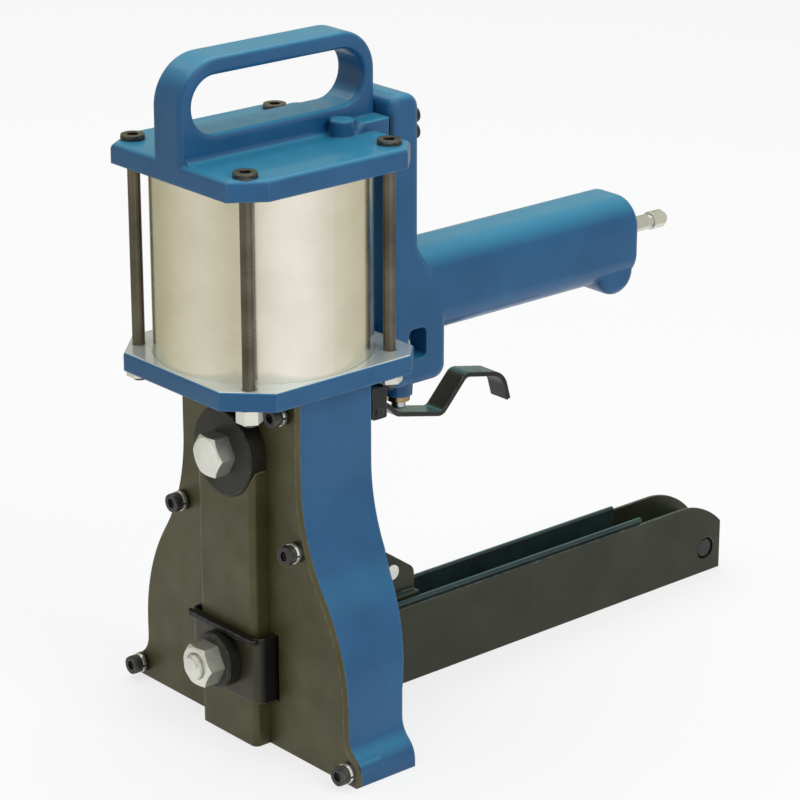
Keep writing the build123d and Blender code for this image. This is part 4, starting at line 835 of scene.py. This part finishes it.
def coil(node, joint):
    """Wound wire in place of a node; the travel of its joint is printed."""
    low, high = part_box(node)
    foot = Vector(((low.x + high.x) / 2, (low.y + high.y) / 2, low.z))
    length, travel = high.z - low.z, ranges[joint][1]
    outer = (high.x - low.x) / 2
    inner = min((vertex.co - foot).xy.length for vertex in nodes[node].data.vertices)
    wire, radius = (outer - inner) / 2, (outer + inner) / 2
    climb = (length - 2 * wire) / (2 * math.pi * coil_turns)
    points = helix_tube(foot, radius, wire, climb)
    faces = tube_faces(round_steps * coil_turns + 1, wire_steps)
    piece = add_piece(node + "_wire", points, faces, "spring_steel", "frame")
    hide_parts(node)
    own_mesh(piece)
    print(node, "shortens from", round(length * 1000, 1), "by", round(travel * 1000, 1), "mm")


coil("return_spring", "piston_slide")
coil("valve_spring", "valve_lift")

# %% [markdown]
# ## Floor paint
# The studio is white and softly lit. More light would whiten the floor, but it would bleach the tool as
# well. So the floor is plain white paint that also glows to the camera and to reflections, which keeps
# it white while the tool's shadow stays. From below it is clear, so that the clinchers in the foot can
# be looked at.

# %% Floor paint
def glance(tree):
    """1 for rays from the camera, from gloss and through glass, else 0."""
    path = tree.nodes.new("ShaderNodeLightPath")
    most = path.outputs["Is Camera Ray"]
    for name in ("Is Glossy Ray", "Is Transmission Ray"):
        node = tree.nodes.new("ShaderNodeMath")
        node.operation = "MAXIMUM"
        tree.links.new(most, node.inputs[0])
        tree.links.new(path.outputs[name], node.inputs[1])
        most = node.outputs["Value"]
    return most


def mix_shaders(tree, factor, first, second):
    """Mixes two shaders by a factor."""
    mix = tree.nodes.new("ShaderNodeMixShader")
    tree.links.new(factor, mix.inputs["Fac"])
    tree.links.new(first, mix.inputs[1])
    tree.links.new(second, mix.inputs[2])
    return mix.outputs["Shader"]


def floor_paint():
    """White paint that glows for a glance and is clear from below."""
    material, tree, shader = new_finish("floor_paint", metal=0.0, gloss_weight=0.1)
    glow_share = 0.72
    shader.inputs["Base Color"].default_value = (0.98, 0.98, 0.98, 1)
    shader.inputs["Roughness"].default_value = 0.9
    glow = tree.nodes.new("ShaderNodeEmission").outputs["Emission"]
    glow_seen = multiply(tree, glance(tree), glow_share)
    paint = mix_shaders(tree, glow_seen, shader.outputs["BSDF"], glow)
    below = tree.nodes.new("ShaderNodeNewGeometry").outputs["Backfacing"]
    clear = tree.nodes.new("ShaderNodeBsdfTransparent").outputs["BSDF"]
    one_sided = mix_shaders(tree, below, paint, clear)
    tree.links.new(one_sided, tree.nodes["Material Output"].inputs["Surface"])
    return material


print("made the recipe for floor paint")

# %% [markdown]
# ### Floor
# The floor is one wide sheet at the level of the foot. A sheet that curves up behind the tool is common
# in studios, but the sky is nearly as white as the floor here, so a flat one hardly shows a horizon. It
# belongs to the studio and not to the tool.

# %% Floor
floor_half, floor_level = 6.0, cad_box[0][2]
corners = ((-1, -1), (1, -1), (1, 1), (-1, 1))
floor_points = [(x * floor_half, y * floor_half, floor_level) for x, y in corners]
floor_mesh = bpy.data.meshes.new("floor")
floor_mesh.from_pydata(floor_points, [], [(0, 1, 2, 3)])
floor_mesh.materials.append(floor_paint())
floor = bpy.data.objects.new("floor", floor_mesh)
bpy.context.scene.collection.objects.link(floor)
print("floor at", floor_level)

# %% [markdown]
# ## Lamps
# One bare lamp would leave hard shadows and black sides. Soft boxes are wide lamps, and the wider they
# are, the softer a shadow ends. A wide one overhead brightens the faces that look up, a key lamp stands
# on the camera's right, and a weak one fills the front. All of them look at the middle of the tool.

# %% Lamps
tool_middle = Vector((0, 0.05, 0.16))


def soft_box(name, place, size, watts):
    """A square lamp that looks at the middle of the tool."""
    data = bpy.data.lights.new(name, "AREA")
    data.size = size
    data.energy = watts
    lamp = bpy.data.objects.new(name, data)
    lamp.location = place
    lamp.rotation_euler = (tool_middle - Vector(place)).to_track_quat("-Z", "Y").to_euler()
    bpy.context.scene.collection.objects.link(lamp)


soft_box("overhead", (-0.45, 0.10, 1.9), size=2.4, watts=21)
soft_box("key", (1.5, 0.2, 1.1), size=0.9, watts=10)
soft_box("front_fill", (-0.5, -1.7, 0.7), size=0.9, watts=1.6)
print("hung", len(bpy.data.lights), "lamps")

# %% [markdown]
# ## Sky
# Around a tool in a studio everything is pale, and that paleness lights it from all sides. The sky of
# the scene stands in for it at a plain level. Turned up until it looked white, it would wash the colours
# out. So it lights the tool weakly, and only a glance sees it as white.

# %% Sky
world = bpy.data.worlds.new("studio")
bpy.context.scene.world = world
world.use_nodes = True
sky = world.node_tree
sky_light = sky.nodes["Background"]
sky_light.inputs["Color"].default_value = (0.95, 0.97, 1.0, 1)
sky_light.inputs["Strength"].default_value = 0.42
sky_white = sky.nodes.new("ShaderNodeBackground")
sky_white.inputs["Color"].default_value = (1, 1, 1, 1)
both = mix_shaders(sky, glance(sky), sky_light.outputs["Background"], sky_white.outputs["Background"])
sky.links.new(both, sky.nodes["World Output"].inputs["Surface"])
print("sky lights with a strength of", round(sky_light.inputs["Strength"].default_value, 2))

# %% [markdown]
# ## Card for a light tent
# Bright metal shows its surroundings, and an all-white room would leave the tube flat. Photographers
# stand grey cards round such a piece. A picture of a studio could be reflected instead, but a few shades
# of card are all that a plain tube needs. The card is brightest a little to the right of the camera,
# greyer on the left and darkest behind the tool, and its grey parts are warm, as unbleached card is.

# %% Card for a light tent
# degrees round the ring from the camera towards its right, and how bright the card is there
card_shades = ((0, 0.84), (17, 0.96), (32, 1.0), (47, 0.97), (64, 0.84), (82, 0.71), (103, 0.64),
               (131, 0.60), (180, 0.44), (225, 0.46), (239, 0.50), (264, 0.62), (284, 0.71),
               (301, 0.74), (320, 0.68), (333, 0.60), (345, 0.66), (360, 0.84))
white_shade, warming_range, green_loss, blue_loss = 0.95, 0.45, 0.03, 0.28


def card_tone(shade):
    """Colour of a card of that brightness: the greyer it is, the warmer."""
    warmth = min(max((white_shade - shade) / warming_range, 0.0), 1.0)
    return shade, shade * (1 - green_loss * warmth), shade * (1 - blue_loss * warmth), 1


def card_paint():
    """A glow whose tone follows the turn round the ring."""
    material = bpy.data.materials.new("card_paint")
    material.use_nodes = True
    tree = material.node_tree
    place = tree.nodes.new("ShaderNodeTexCoord")
    angle = tree.nodes.new("ShaderNodeTexGradient")
    angle.gradient_type = "RADIAL"
    ramp = tree.nodes.new("ShaderNodeValToRGB")
    glow = tree.nodes.new("ShaderNodeEmission")
    tones = ramp.color_ramp.elements
    for degrees, shade in card_shades[1:-1]:
        tones.new(degrees / 360)
    for tone, (degrees, shade) in zip(tones, card_shades):
        tone.color = card_tone(shade)
    tree.links.new(place.outputs["Object"], angle.inputs["Vector"])
    tree.links.new(angle.outputs["Fac"], ramp.inputs["Fac"])
    tree.links.new(ramp.outputs["Color"], glow.inputs["Color"])
    tree.links.new(glow.outputs["Emission"], tree.nodes["Material Output"].inputs["Surface"])
    tree.nodes.remove(tree.nodes["Principled BSDF"])
    return material


print("card in", len(card_shades), "shades")

# %% [markdown]
# ### Ring of card
# Separate cards would show as stripes with hard edges, so the card is one ring whose shades run into
# each other. It stands round the tool, clear of it on all sides, and is turned so that its first shade
# faces the camera. Only reflections see it: it casts no light and no shadow.

# %% Ring of card
card_radius, card_low, card_high, card_steps = 0.42, 0.001, 0.60, 96
card_turns = [2 * math.pi * step / card_steps for step in range(card_steps)]
card_points = [(card_radius * math.cos(turn), card_radius * math.sin(turn), level)
               for level in (card_low, card_high) for turn in card_turns]
card_mesh = bpy.data.meshes.new("card_ring")
card_mesh.from_pydata(card_points, [], band(0, card_steps, card_steps))
card_mesh.materials.append(card_paint())
card_ring = bpy.data.objects.new("card_ring", card_mesh)
card_ring.rotation_euler = (0, 0, math.atan2(camera_place.y, camera_place.x) - math.pi)
bpy.context.scene.collection.objects.link(card_ring)
card_ring.visible_camera = False
card_ring.visible_diffuse = False
card_ring.visible_transmission = False
card_ring.visible_volume_scatter = False
card_ring.visible_shadow = False
print("card ring of", card_steps, "strips")

# %% [markdown]
# ## Finish
# Blender can bend colours to look like film. The plain view is chosen instead, so colours show as they
# are written.

# %% Finish
bpy.context.scene.view_settings.view_transform = "Standard"
